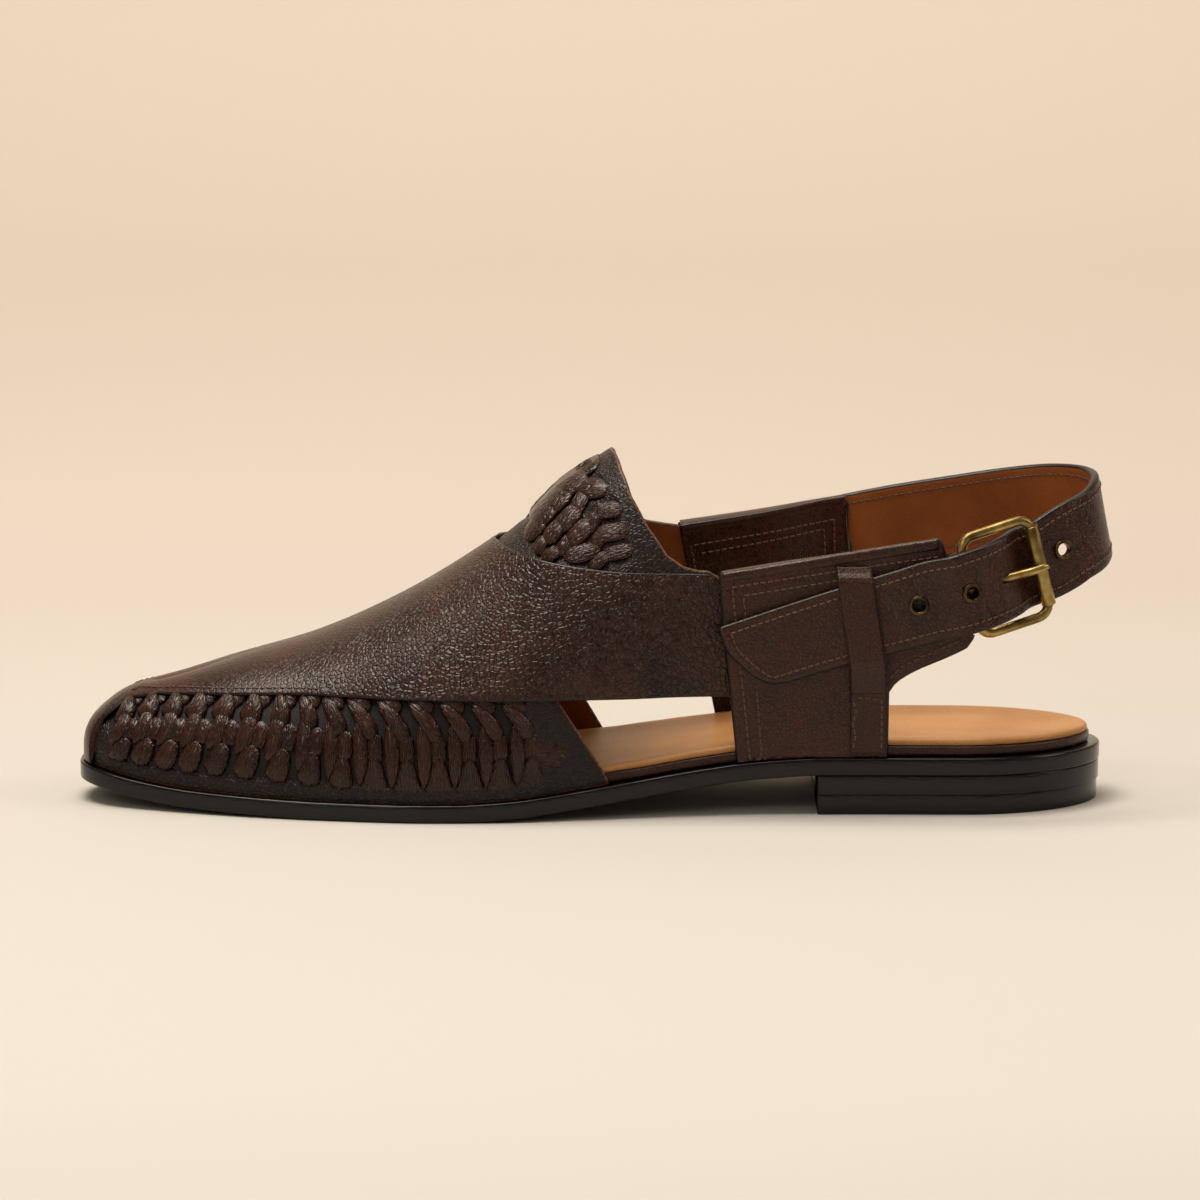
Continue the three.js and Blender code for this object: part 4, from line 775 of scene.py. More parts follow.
def pads(side, place, start, end, wide, rise, bow, fade):
    """Cushioned strips on the last. A strip runs from start to end, straight but for a bow, and is as wide
    as a curve through three values, rounded off at both ends. Its back is flat and sunk in the wall, and
    its face rises as the root of a sine across it. Where fade is 1 its far end stays wide and runs out
    flush with the wall. place turns its two coordinates to x and z."""
    t = np.linspace(0, 1, 17)[None, :, None]
    turn = np.linspace(0, np.pi, 11)
    across = np.concatenate([np.cos(turn), [-0.6, 0.0, 0.6]])[None, None, :]
    crown = np.concatenate([np.sin(turn) ** 0.75, [-0.9, -0.9, -0.9]])[None, None, :]
    start, end, wide = start[:, None, None, :], end[:, None, None, :], wide[:, None, None, :]
    rise, bow, fade = rise[:, None, None], bow[:, None, None], fade[:, None, None]
    run = end - start
    length = np.linalg.norm(run, axis=-1)
    aside = np.stack([-run[..., 1], run[..., 0]], -1) / length[..., None]
    front, middle, back = (wide[..., k] for k in range(3))
    half = front * (1 - t) * (1 - 2 * t) + 4 * middle * t * (1 - t) + back * t * (2 * t - 1)
    ends = np.abs(2 * t - 1)
    half = half * (1 - (ends * (1 - fade * (t > 0.5))) ** 5) ** 0.46
    spot = start + run * t[..., None] + aside * (bow * np.sin(np.pi * t) + half * across)[..., None]
    x, z = place(spot[..., 0], spot[..., 1])
    slope = lerp(1 - 0.5 * ends**2.6, (1 - t) ** 0.8, fade)
    lift = -0.5 + (rise + 0.5) * crown * slope + 0 * half
    lift = np.where((fade > 0) & (t > 0.5), lift + 0.36 * (2 * t - 1) * (crown > 0), lift)
    r, v = find(x, z, side)
    points = drawn(r, v, np.where(crown < 0, SUNK, lift))
    order = np.arange(points.shape[2])[::-1] if side > 0 else np.arange(points.shape[2])
    count = np.arange(len(points))[:, None, None]
    uv = np.stack([t * length + 0 * half * across + 7.3 * count, half * across + 3.1 * count], -1)
    return points[:, :, order], uv[:, :, order]


def in_band(x, level):
    """x and height of a place in the band, given its level between the sole and the saddle's edge."""
    return np.maximum(x, TOE + 1.2), lerp(sole_top(x) + GAP, saddle_edge(x), level / BAND_SHARES)


def band_pads(side):
    """All strips of the band on one side."""
    pitch = np.gradient(UNIT_AT)
    toe = 1 - smoothstep(UNIT_AT, 40, 92)
    spots = []
    for step, level in (("u0", "h0"), ("u1", "h1")):
        step, level = (lerp(STRIPS[name], STRIPS["toe_" + name], toe[:, None]) for name in (step, level))
        spot = np.stack([UNIT_AT[:, None] + step * pitch[:, None], level * BAND_SHARES], -1)
        spots.append(spot.reshape(-1, 2))
    fade = (STRIPS["open"] * (toe[:, None] < 0.12)).ravel()
    narrow = (0.45 + 0.55 * pitch / WEAVE_PITCH + 0.22 * toe)[:, None, None]
    wide = (np.stack([STRIPS["wide0"], STRIPS["wide1"], STRIPS["wide2"]], -1) * narrow).reshape(-1, 3)
    blunt = 1 - 0.42 * toe[:, None] * STRIPS["open"]
    wide = wide * np.stack([0 * blunt + 1, 1 - 0.3 * (1 - blunt), blunt], -1).reshape(-1, 3)
    rise, bow = (np.tile(STRIPS[name], len(UNIT_AT)) for name in ("rise", "bow"))
    return pads(side, in_band, *spots, wide, rise, bow, fade)


def last_cross_strip(side):
    """The free end of the cross strip, which lies flat behind the last upright."""
    start, end, wide = np.array([[134.6, 14.2]]), np.array([[146.4, 11.0]]), np.array([[3.9, 4.2, 3.9]])
    return pads(side, in_band, start, end, wide, np.array([0.55]), np.zeros(1), np.zeros(1))


def tongue_pads(side):
    """The strips of the tongue's panel on one side."""
    slant = np.radians(TONGUE["slant"])
    middle = np.stack([TONGUE["at"] * LENGTH, TONGUE["height"] * INSTEP_HEIGHT], -1)
    reach = np.stack([np.cos(slant), np.sin(slant)], -1) * (0.5 * TONGUE["long"] * WEAVE_PITCH)[:, None]
    wide = TONGUE["wide"][:, None] * np.array([0.95, 1.2, 0.95])
    rise, flat = 0.75 * TONGUE["rise"], 0 * slant
    return pads(side, lambda x, z: (x, z), middle - reach, middle + reach, wide, rise, flat, flat)


# %% [markdown]
# A near black sheet lies behind the strips of the band, over the skived wall: it is painted shade, which
# makes the gaps between the strips dark. It rides in the same piece as the strips.

# %% Painted shade sheet, and the woven piece
SHADE_SHEET_FACE = -0.62


def shade_sheet(side):
    """Sheets of the near black painted shade sheet on one side of the band."""
    x = np.linspace(9, 131, 110)[:, None] + np.zeros((1, 16))
    z = lerp(sole_top(x) + GAP, saddle_edge(x), np.linspace(0.2, 0.95, 16)[None, :])
    return on_last(side, *find(x, z, side), SHADE_SHEET_FACE, SUNK)


woven = [part(side) for side in (-1, 1) for part in (band_pads, last_cross_strip, tongue_pads)]
sections = np.concatenate([points for points, _ in woven])
strip_uv = np.concatenate([uv for _, uv in woven])
points, quads = skins(sections)
strip_uv = np.concatenate([strip_uv.reshape(-1, 2), strip_uv[:, [0, -1]].mean(2).reshape(-1, 2)])
shade_sheets = cut_leather([shade_sheet(side) for side in (-1, 1)], "shade_sheet", "shade_sheet", "shade_sheet")
points, groups = joined([(points, [(quads, "plaited")]), shade_sheets])
strip_uv = np.concatenate([strip_uv, np.zeros((len(shade_sheets[0]), 2))])
put("weave_strips", points, groups, uv=strip_uv)

# %% [markdown]
# ## Thread
# Panels are sewn with lockstitches, which show as short raised dashes with sunk ends. A seam is a line
# on a surface and its normals, and each stitch on it is a small bent tube.

# %% Stitches
STITCH, STITCH_GAP, THREAD_RADIUS = 1.5, 0.6, 0.27


def stitches(line, normals):
    """Stitches along a line. The line is resampled by its own length, each stitch takes its share of a
    pitch, and its middle is lifted by a sine while its ends lie in the leather."""
    run = np.concatenate([[0], np.cumsum(np.linalg.norm(np.diff(line, axis=0), axis=1))])
    count = max(int(run[-1] // (STITCH + STITCH_GAP)), 1)
    t = np.linspace(0, 1, 6)
    at = (np.arange(count)[:, None] + t * STITCH / (STITCH + STITCH_GAP)) * run[-1] / count
    spot = np.stack([np.interp(at, run, column) for column in line.T], -1)
    up = unit(np.stack([np.interp(at, run, column) for column in normals.T], -1))
    spot = spot + up * (0.2 * np.sin(np.pi * t) - 0.06)[None, :, None]
    ahead = unit(np.gradient(spot, axis=1))
    aside = unit(np.cross(up, ahead))
    over = np.cross(ahead, aside)
    cos, sin = circle(6)
    spokes = aside[:, :, None] * cos[:, None] + over[:, :, None] * sin[:, None]
    return spot[:, :, None] + THREAD_RADIUS * spokes


def seam(x, z, side, offset, inward=False):
    """Stitches along a line in side view, on the layer drawn out by the offset."""
    steps_to = np.concatenate([[0], np.cumsum(np.hypot(np.diff(x), np.diff(z)))])
    fine = np.linspace(0, steps_to[-1], max(int(steps_to[-1] / 0.8), 4))
    x, z = np.interp(fine, steps_to, x), np.interp(fine, steps_to, z)
    layer_at = offset if callable(offset) else constant(offset)
    r, v = find(x, z, side, layer_at(x))
    normal = last_normal(r, v)
    return stitches(drawn(r, v, layer_at(r)), -normal if inward else normal)


def sewn(seams):
    """Points and faces of many seams, in thread."""
    points, quads = skins(np.concatenate(seams))
    return points, [(quads, "thread")]


# %% [markdown]
# ## Saddle
# The saddle is one smooth piece, drawn over toe and instep. Its patch on each
# side is ruled between its lower edge, found rib by rib, and the ridge or the line of its top edge.

# %% Saddle over the toe and instep
SADDLE_IN, SADDLE_OUT = GAP, GAP + SADDLE_THICKNESS
SADDLE_TOP = table("at height", [
    (0.386, 0.79), (0.406, 0.744), (0.431, 0.727), (0.47, 0.706), (0.52, 0.688), (0.56, 0.681),
    (0.613, 0.676), (0.6265, 0.655), (0.66, 0.655),
])
saddle_top = through(SADDLE_TOP["at"] * LENGTH, SADDLE_TOP["height"] * INSTEP_HEIGHT)


def lower_v(r, side):
    """The v at which each rib passes the saddle's lower edge, by halving from the foot to the ridge."""
    low, high = side + 0 * r, 0 * r
    for _ in range(HALVINGS - 2):
        v = (low + high) / 2
        place = drawn(r, v, SADDLE_OUT + 0 * r)
        under = (place[..., 2] < saddle_edge(place[..., 0])) & (place[..., 0] > EDGE_LINE["at"][0] * LENGTH)
        low, high = np.where(under, v, low), np.where(under, high, v)
    return np.where(r < TOE + 0.02, side, high)


def saddle_patch(side):
    """Grids of rib and v for one half of the saddle."""
    x = np.linspace(0.4, 0.66, 130) * LENGTH
    r, v = find(x, saddle_top(x), side, SADDLE_OUT)
    start = int(np.argmax(np.abs(v) > 0.02))
    r, v = r[start:], v[start:]
    ridge = lerp(TOE, r[0], np.linspace(0, 1, 150) ** 1.7)[:-1]
    top_r, top_v = np.concatenate([ridge, r]), np.concatenate([0 * ridge, v])
    t = np.linspace(0, 1, 46)[None, :]
    return top_r[:, None] + 0 * t, lerp(lower_v(top_r, side)[:, None], top_v[:, None], t)


sheets = [on_last(side, *saddle_patch(side), SADDLE_OUT, SADDLE_IN) for side in (-1, 1)]
edge_x = np.linspace(0.055, 0.24, 120) * LENGTH
edging = [seam(edge_x, saddle_edge(edge_x) + 1.1, side, SADDLE_OUT) for side in (-1, 1)]
points, groups = joined([cut_leather(sheets, "grained", "smooth", "edge", roll=0.5), sewn(edging)])
put("saddle", points, groups, ["saddle"])

# %% [markdown]
# ## Quarters
# Each quarter is cut leather with its own facing behind it: the two close round the rear end of the
# saddle. A binding is rolled over their top edge, and two seams run beside the front and the top.

# %% Plies of the quarters
QUARTER_IN = SADDLE_OUT + GAP
QUARTER_OUT = QUARTER_IN + QUARTER_THICKNESS
STRAP_IN = QUARTER_OUT + GAP
STRAP_OUT = STRAP_IN + STRAP_THICKNESS
FACING_SEATED, FACING_BACK, BINDING = 0.745 * LENGTH, 0.7515 * LENGTH, 3.7
TRIM = 0.8

# Pairs of places in side view: the lower end and the upper end of a rule across the panel
PAIR = "low low_height high high_height"
OUTER_PAIRS = table(PAIR, [
    (0.646, 0.16, 0.6265, 1.004), (0.7, 0.16, 0.69, 1.047), (0.785, 0.16, 0.76, 1.094),
    (0.7862, 0.511, 0.79, 1.1145), (0.7915, 0.545, 0.797, 1.119), (0.7975, 0.568, 0.803, 1.123),
    (0.808, 0.596, 0.812, 1.129), (0.819, 0.619, 0.822, 1.135), (0.8395, 0.655, 0.8365, 1.145),
    (0.85, 0.675, 0.842, 1.06), (0.862, 0.7, 0.852, 0.88), (0.868, 0.735, 0.862, 0.81),
    (0.869, 0.755, 0.869, 0.755),
])
INNER_PAIRS = table(PAIR, [
    (0.635, 0.1, 0.589, 1.096), (0.66, 0.1, 0.62, 1.116), (0.7, 0.1, 0.68, 1.155), (0.74, 0.1, 0.72, 1.182),
    (0.78, 0.1, 0.753, 1.203), (0.774, 0.42, 0.7545, 0.9), (0.757, 0.7, 0.756, 0.75),
])


def facing_at(r):
    """Offset of the facing: inside the wall in front, and close behind the quarter where the wall ends."""
    return lerp(-(WALL + GAP), QUARTER_IN + GAP, smoothstep(r, SIDE_END + GAP, FACING_SEATED))


def facing_face(r):
    """Offset of the facing's inner face."""
    return facing_at(r) - FACING


def panel(pairs, back=LENGTH, drop=0.0):
    """Grids of x and height of a panel ruled between the pairs. Its foot follows the sole."""
    rows = np.linspace(0, 1, 90)
    spread = np.concatenate([[0], np.cumsum(np.hypot(np.diff(pairs["high"]), np.diff(pairs["low"])) + 0.004)])
    at = rows * spread[-1]
    low_x, low_z, high_x, high_z = (np.interp(at, spread, pairs[name]) for name in PAIR.split())
    low_x, high_x = np.minimum(low_x * LENGTH, back), np.minimum(high_x * LENGTH, back)
    t = np.linspace(0, 1, 40)[None, :]
    x = lerp(low_x[:, None], high_x[:, None], t)
    z = lerp(low_z[:, None] * COLLAR_HEIGHT, high_z[:, None] * COLLAR_HEIGHT - drop, t)
    foot, above = 0.16 * COLLAR_HEIGHT, 0.2 * COLLAR_HEIGHT
    return x, np.where(z < above, lerp(sole_top(x) + 2 * GAP, z, smoothstep(z, foot, above)), z)


def ply(x, z, side, outside, inside):
    """A ply of leather over grids in side view, between two offsets of the rib."""
    r, v = find(x, z, side, outside(x))
    return cut_leather([on_last(side, r, v, outside(r), inside(r))], "strap_grain", "strap_grain", "edge")


def binding(line_x, line_z, side):
    """The rolled edge: a section carried along the top line. It is a flat oval from the facing's inner
    face to the quarter's outer face, bulged a little at its front."""
    turn = np.arange(28) * 2 * np.pi / 28
    out = np.sign(np.cos(turn)) * np.abs(np.cos(turn)) ** 0.8
    up = np.sign(np.sin(turn)) * np.abs(np.sin(turn)) ** 0.55
    x = line_x[:, None] + 0 * turn
    z = line_z[:, None] + BINDING / 2 * (up - 1)
    outside, inside = QUARTER_OUT + 0.35, np.minimum(facing_face(x) - 0.2, QUARTER_IN)
    ring = drawn(*find(x, z, side), lerp(inside, outside, (out + 1) / 2))
    order = np.arange(28)[::-1] if side > 0 else np.arange(28)
    points, quads = skins(ring[None, :, order])
    return points, [(quads, "smooth")]


# %% [markdown]
# A quarter is then put together from its ply, its facing, the rolled edge and its seams. The seams are
# drawn as lines through places in side view: the facing's show on the inside of the shoe.

# %% Outer and inner quarter
def quarter(name, pairs, side, seams, ends):
    """A quarter: its ply, its facing, the rolled edge and the seams, as one piece."""
    outer_ply = ply(*panel(pairs, drop=TRIM), side, constant(QUARTER_OUT), constant(QUARTER_IN))
    x, z = panel(pairs, back=FACING_BACK, drop=TRIM)
    facing = ply(x, np.maximum(z, BAND_TOP + 0.5), side, facing_at, facing_face)
    line_x = np.linspace(*ends, 70) * LENGTH
    line_z = np.interp(line_x, pairs["high"][:9] * LENGTH, pairs["high_height"][:9] * COLLAR_HEIGHT)
    points, groups = joined([outer_ply, facing, binding(line_x, line_z, side), sewn(seams)])
    return put(name, points, groups, [name])


def polyline(*places):
    """x and z of a line through places given as shares of the length and of the collar's height."""
    places = np.array(places, float)
    return places[:, 0] * LENGTH, places[:, 1] * COLLAR_HEIGHT


outer_seams = [
    seam(*polyline((0.835, 1.07), (0.637, 0.945), (0.6555, 0.2)), -1, QUARTER_OUT),
    seam(*polyline((0.76, 0.985), (0.648, 0.91), (0.6525, 0.72)), -1, QUARTER_OUT),
    seam(*polyline((0.661, 0.52), (0.6665, 0.2)), -1, QUARTER_OUT),
    seam(*polyline((0.789, 0.57), (0.8, 0.615), (0.82, 0.66), (0.84, 0.695), (0.858, 0.73)), -1, QUARTER_OUT),
]
quarter("outer_quarter", OUTER_PAIRS, -1, outer_seams, (0.6268, 0.836))
inner_seams = [
    seam(*polyline((0.742, 1.1), (0.6, 1.0), (0.608, 0.8)), 1, facing_face, True),
    seam(*polyline((0.736, 0.75), (0.732, 1.06), (0.608, 0.965)), 1, facing_face, True),
    seam(*polyline((0.742, 1.1), (0.744, 0.75)), 1, facing_face, True),
    seam(*polyline((0.748, 1.12), (0.6, 1.02), (0.642, 0.2)), 1, QUARTER_OUT),
    seam(*polyline((0.766, 0.2), (0.75, 0.68), (0.745, 1.1)), 1, QUARTER_OUT),
]
quarter("inner_quarter", INNER_PAIRS, 1, inner_seams, (0.5895, 0.753))

# %% [markdown]
# ## Buckle
# A single bar buckle: a bent wire frame, a tube that rolls on one bar and a prong that is hung on the
# other. A tab of thin leather folds round the bar and holds it on the quarter. Everything here is
# placed by its reach from the bar, its rise along the bar and its distance out.

# %% The buckle's own frame
YAW, PITCH = math.radians(20), math.radians(14.5)
ALONG = np.array([math.cos(PITCH) * math.cos(YAW), math.cos(PITCH) * math.sin(YAW), math.sin(PITCH)])
OUTWARD = np.array([math.sin(YAW), -math.cos(YAW), 0])
UPWARD = np.cross(OUTWARD, ALONG)
BAR_OFFSET = (QUARTER_IN + QUARTER_OUT) / 2
RING_IN = WIRE / 2 + GAP
RING_OUT = RING_IN + TAB_LEATHER
PRONG_REST = ROLLER_DIAMETER / 2 + GAP + PRONG_DIAMETER / 2


def on_side(x, side, z, offset):
    """Point of the layer drawn out by an offset, on rib x at a height."""
    return drawn(x, around(x, side, z), offset)


BAR = on_side(np.array(0.8655 * LENGTH), -1, np.array(0.937 * COLLAR_HEIGHT), np.array(BAR_OFFSET))


def in_buckle(reach, rise, out):
    """Point of the buckle's own frame."""
    reach, rise, out = (np.asarray(value, float)[..., None] for value in (reach, rise, out))
    return BAR + ALONG * reach + UPWARD * rise + OUTWARD * out


# %% [markdown]
# Metal parts are either wire, a circle carried along a path, or turned, a profile carried round an axis.

# %% Wire and turned parts
def tube(path, radius, closed=False, sides=16, flat=OUTWARD):
    """A round skin along a path: circles square to it, one axis of each held to a given direction."""
    before, after = (np.roll(path, 1, 0), np.roll(path, -1, 0)) if closed else (path, path)
    ahead = unit(after - before) if closed else unit(np.gradient(path, axis=0))
    aside = unit(np.cross(flat, ahead))
    over = np.cross(ahead, aside)
    cos, sin = circle(sides)
    radius = np.broadcast_to(radius, (len(path),))[:, None, None]
    rings = path[:, None] + radius * (aside[:, None] * cos[:, None] + over[:, None] * sin[:, None])
    return skins(rings[None], closed)


def turned(profile, centre, axis, sides=40):
    """A closed profile of radius and height, turned round an axis."""
    first = unit(np.cross(axis, [0.3, 0.2, 0.9]))
    second = np.cross(axis, first)
    cos, sin = circle(sides)
    spokes = first * cos[:, None] + second * sin[:, None]
    radius, height = np.array(profile, float).T
    rings = centre + spokes[:, None] * radius[:, None] + axis * height[:, None]
    return skins(rings[None], closed=True)


def metal(name, parts, nodes, look="brass"):
    """A brass piece from skins."""
    points, groups = joined([(points, [(quads, look)]) for points, quads in parts])
    return put(name, points, groups, nodes)


# %% [markdown]
# The frame's loop has round corners. The prong's eye is bent round the bar, and its shank passes through
# the strap and rests with its tip on the roller.

# %% Frame, roller and prong
def frame_path():
    """The frame's loop: a rectangle with round corners."""
    corner, half = 4.2, BUCKLE_WIDTH / 2
    spots = []
    for k, (reach, rise) in enumerate([(BUCKLE_REACH, half), (0, half), (0, -half), (BUCKLE_REACH, -half)]):
        turn = np.radians(np.linspace(k * 90, k * 90 + 90, 10))
        middle = (corner if reach == 0 else reach - corner), rise - np.sign(rise) * corner
        reaches, rises = middle[0] + corner * np.cos(turn), middle[1] + corner * np.sin(turn)
        spots.append(in_buckle(reaches, rises, 0 * turn))
    return np.concatenate(spots)


metal("buckle_frame", [tube(frame_path(), WIRE / 2, closed=True)], ["buckle_frame"])
HALF_ROLL, ROLL_RADIUS = ROLLER_LENGTH / 2, ROLLER_DIAMETER / 2
roller_profile = [
    (WIRE / 2 + GAP, -HALF_ROLL), (ROLL_RADIUS - 0.25, -HALF_ROLL), (ROLL_RADIUS, -HALF_ROLL + 0.3),
    (ROLL_RADIUS, HALF_ROLL - 0.3), (ROLL_RADIUS - 0.25, HALF_ROLL), (WIRE / 2 + GAP, HALF_ROLL),
]
roller = turned(roller_profile[::-1], in_buckle(BUCKLE_REACH, 0, 0), UPWARD)
metal("buckle_roller", [roller], ["buckle_roller"])
prong_t = np.array([0, 0.45, 0.86, 1])
prong_out = through(prong_t, np.array([0.2, 0.52 * PRONG_REST, PRONG_REST, PRONG_REST - 0.1]))
prong_reach = through(prong_t, np.array([RING_IN + 0.6, PRONG_PLACE, BUCKLE_REACH - 3, BUCKLE_REACH + 1.2]))
t = np.linspace(0, 1, 40)
prong_radius = PRONG_DIAMETER / 2 * (1 - 0.35 * smoothstep(t, 0.93, 1.0))
shank = tube(in_buckle(prong_reach(t), 0 * t, prong_out(t)), prong_radius)
turn = np.arange(32) * 2 * np.pi / 32
eye_radius = (RING_IN + RING_OUT) / 2
eye = tube(in_buckle(eye_radius * np.cos(turn), 0 * turn, eye_radius * np.sin(turn)), 0.7, True, 12, UPWARD)
metal("buckle_prong", [shank, eye], ["buckle_prong"])

# %% [markdown]
# The tab is one strip of thin leather. It runs forward over the bar, turns round it and comes back behind,
# and a slot in its middle lets the prong through, so it is drawn as an upper and a lower half.

# %% Folded tab
TAB_REACH, SLOT = 10.0, 1.75


def tab_point(reach, rise, out):
    """Place on the tab: in the buckle's plane round the bar, and on the quarter's end behind it."""
    free, root = in_buckle(reach, rise, out), in_buckle(reach, rise, 0 * out)
    sewn_down = on_side(root[..., 0], -1, root[..., 2], BAR_OFFSET + out)
    return lerp(free, sewn_down, smoothstep(-reach, RING_OUT, 0.6 * TAB_REACH)[..., None])


def tab_patch(rise_from, rise_to):
    """Sheets of the folded tab between two rises: the front ply, half a turn round the bar and the back
    ply. A length along the fold's path is a reach on the plies and an angle on the turn."""
    flat = TAB_REACH - 1
    path = np.linspace(0, 2 * (flat + np.pi), 60)
    bend = np.clip((path - flat) / 2, 0, np.pi)
    turning = (bend > 0) & (bend < np.pi)
    reach = np.where(bend > 0, flat - 1 - path + 2 * np.pi, path - flat - 1)
    rise = np.linspace(rise_from, rise_to, 6) + 0 * path[:, None]
    sheets = []
    for radius in (RING_OUT, RING_IN):
        level = np.where(turning, radius * np.cos(bend), np.where(bend > 0, -radius, radius))
        forward = np.where(turning, radius * np.sin(bend), reach)
        sheets.append(tab_point(forward[:, None] + 0 * rise, rise, level[:, None] + 0 * rise))
    return tuple(sheets)


half_tab = TAB_WIDTH / 2
tab_sheets = [tab_patch(-half_tab, -SLOT), tab_patch(SLOT, half_tab)]
points, groups = cut_leather(tab_sheets, "strap_grain", "smooth", "edge")
put("buckle_tab", points, groups, ["buckle_tab"])

# %% [markdown]
# ## Heel strap
# The strap is two plies glued and sewn: grained leather outside and a tan lining inside. It lies on the
# outer quarter, rises through the buckle, passes round the heel and ends on the inner quarter. A smooth
# curve joins those places.

# %% Places that the strap passes
MIDDLE = STRAP_THICKNESS / 2
OVER_BAR = RING_OUT + GAP + MIDDLE
UNDER_ROLLER = -(ROLLER_DIAMETER / 2 + GAP + MIDDLE)
ON_QUARTER = table("at lift", [
    (0.61, 0), (0.64, 0), (0.67, 0), (0.7, 0), (0.73, 0), (0.76, 0.06), (0.785, 0.24), (0.81, 0.64),
    (0.83, 1),
])
IN_BUCKLE = table("reach out", [
    (-5, OVER_BAR), (0, OVER_BAR + 0.2), (0.27 * BUCKLE_REACH, OVER_BAR - 0.5), (0.57 * BUCKLE_REACH, 0.3),
    (0.78 * BUCKLE_REACH, UNDER_ROLLER + 0.4), (BUCKLE_REACH, UNDER_ROLLER - 0.6),
    (1.2 * BUCKLE_REACH, UNDER_ROLLER - 1),
])
ROUND_HEEL = table("at side rise lean", [
    (0.968, -0.46, 0.928, 9), (0.9895, -0.28, 0.963, 10), (0.9995, 0.03, 1, 11), (0.99, 0.37, 1.01, 9),
    (0.96, 0.63, 1.005, 8), (0.915, 0.82, 0.98, 7), (0.86, 0.92, 0.945, 6), (0.805, 0.975, 0.91, 6),
])
INNER_END = table("at rise", [(0.76, 0.876), (0.733, 0.853), (0.705, 0.83)])


def strap_line(x):
    """Height of the strap's middle on the outer quarter."""
    sag = 0.9 * smoothstep(x, 0.7 * LENGTH, 0.83 * LENGTH)
    return lerp(0.668, 0.857, (x / LENGTH - 0.655) / 0.139) * COLLAR_HEIGHT - sag


def sewn_down(x, side, z, offset):
    """Middle of the strap on a quarter, and the direction of its width there."""
    normal = last_normal(x, around(x, side, z))
    up = np.array([0, 0, 1.0])
    return on_side(x, side, z, offset), unit(up - normal * normal[:, 2:])


def strap_rows():
    """Middles and width directions of all places that the strap passes."""
    x = ON_QUARTER["at"] * LENGTH
    lift = ON_QUARTER["lift"] * (BAR_OFFSET + OVER_BAR - STRAP_IN - MIDDLE)
    outer = sewn_down(x, -1, strap_line(x), STRAP_IN + MIDDLE + lift)
    buckle = in_buckle(IN_BUCKLE["reach"], 0 * IN_BUCKLE["out"], IN_BUCKLE["out"])
    heel = np.stack([ROUND_HEEL["at"] * LENGTH, ROUND_HEEL["side"] * HEEL_HALF, 0 * ROUND_HEEL["at"]], -1)
    inwards = unit(np.array([LENGTH - HEEL_ROUNDNESS, 0, 0]) - heel)
    lean = np.radians(ROUND_HEEL["lean"])[:, None]
    heel_rise = np.array([0, 0, 1.0]) * np.cos(lean) + inwards * np.sin(lean)
    heel[:, 2] = ROUND_HEEL["rise"] * HEEL_STRAP_HEIGHT
    x = INNER_END["at"] * LENGTH
    inner = sewn_down(x, 1, INNER_END["rise"] * HEEL_STRAP_HEIGHT, STRAP_IN + MIDDLE + 0 * x)
    centres = np.concatenate([outer[0], buckle, heel, inner[0]])
    return centres, np.concatenate([outer[1], np.tile(UPWARD, (len(buckle), 1)), heel_rise, inner[1]])


CENTRES, RISES = strap_rows()

# %% [markdown]
# The strap is leather, so it can't turn sharply. Its middle is one curve through the places, and the
# direction of its width is averaged along it. FACE is the direction of its grained side.

# %% The strap's line
def catmull_rom(points, place):
    """Centripetal curve through points at fractional places: cubics whose end slopes weigh each
    neighbouring step by the root of its length."""
    padded = np.concatenate([2 * points[:1] - points[1:2], points, 2 * points[-1:] - points[-2:-1]])
    i = np.clip(place.astype(int), 0, len(points) - 2)
    w = (place - i)[:, None]
    p0, p1, p2, p3 = (padded[i + k] for k in range(4))
    d0, d1, d2 = (np.sqrt(np.linalg.norm(b - a, axis=1))[:, None] for a, b in ((p0, p1), (p1, p2), (p2, p3)))
    m1 = ((p1 - p0) / d0 - (p2 - p0) / (d0 + d1) + (p2 - p1) / d1) * d1
    m2 = ((p2 - p1) / d1 - (p3 - p1) / (d1 + d2) + (p3 - p2) / d2) * d1
    return p1 + m1 * w + (3 * (p2 - p1) - 2 * m1 - m2) * w**2 + (2 * (p1 - p2) + m1 + m2) * w**3


PLACES = np.linspace(0, len(CENTRES) - 1, 1600)
LINE = catmull_rom(CENTRES, PLACES)
STRAP_RUN = np.concatenate([[0], np.cumsum(np.linalg.norm(np.diff(LINE, axis=0), axis=1))])
AHEAD = unit(np.gradient(LINE, axis=0))
SOFTEN = np.hanning(121) / np.hanning(121).sum()
TURNED = np.stack([np.interp(PLACES, np.arange(len(RISES)), column) for column in RISES.T], -1)
LIFTED = np.stack([np.convolve(np.pad(column, 60, "edge"), SOFTEN, "valid") for column in TURNED.T], -1)
RISE = unit(LIFTED - AHEAD * (LIFTED * AHEAD).sum(1, keepdims=True))
FACE = np.cross(AHEAD, RISE)
HALF_STRAP = STRAP_WIDTH / 2 * lerp(0.9, 1, smoothstep(PLACES / (len(CENTRES) - 1), 0.05, 0.4))


def along_strap(run, values):
    """Values of the strap's line at lengths along it."""
    return np.stack([np.interp(run, STRAP_RUN, column) for column in values.T], -1)


def strap_point(run, share, out):
    """Point of the strap: a length along it, a share of its half width and a distance out."""
    half = np.interp(run, STRAP_RUN, HALF_STRAP)
    centre, rise, face = (along_strap(run, values) for values in (LINE, RISE, FACE))
    return centre + rise * (share * half)[..., None] + face * np.asarray(out)[..., None]


def run_at(x):
    """Length along the strap at which its outer side passes x."""
    outer_part = PLACES < 0.6 * (len(CENTRES) - 1)
    return float(np.interp(x, LINE[outer_part, 0], STRAP_RUN[outer_part]))


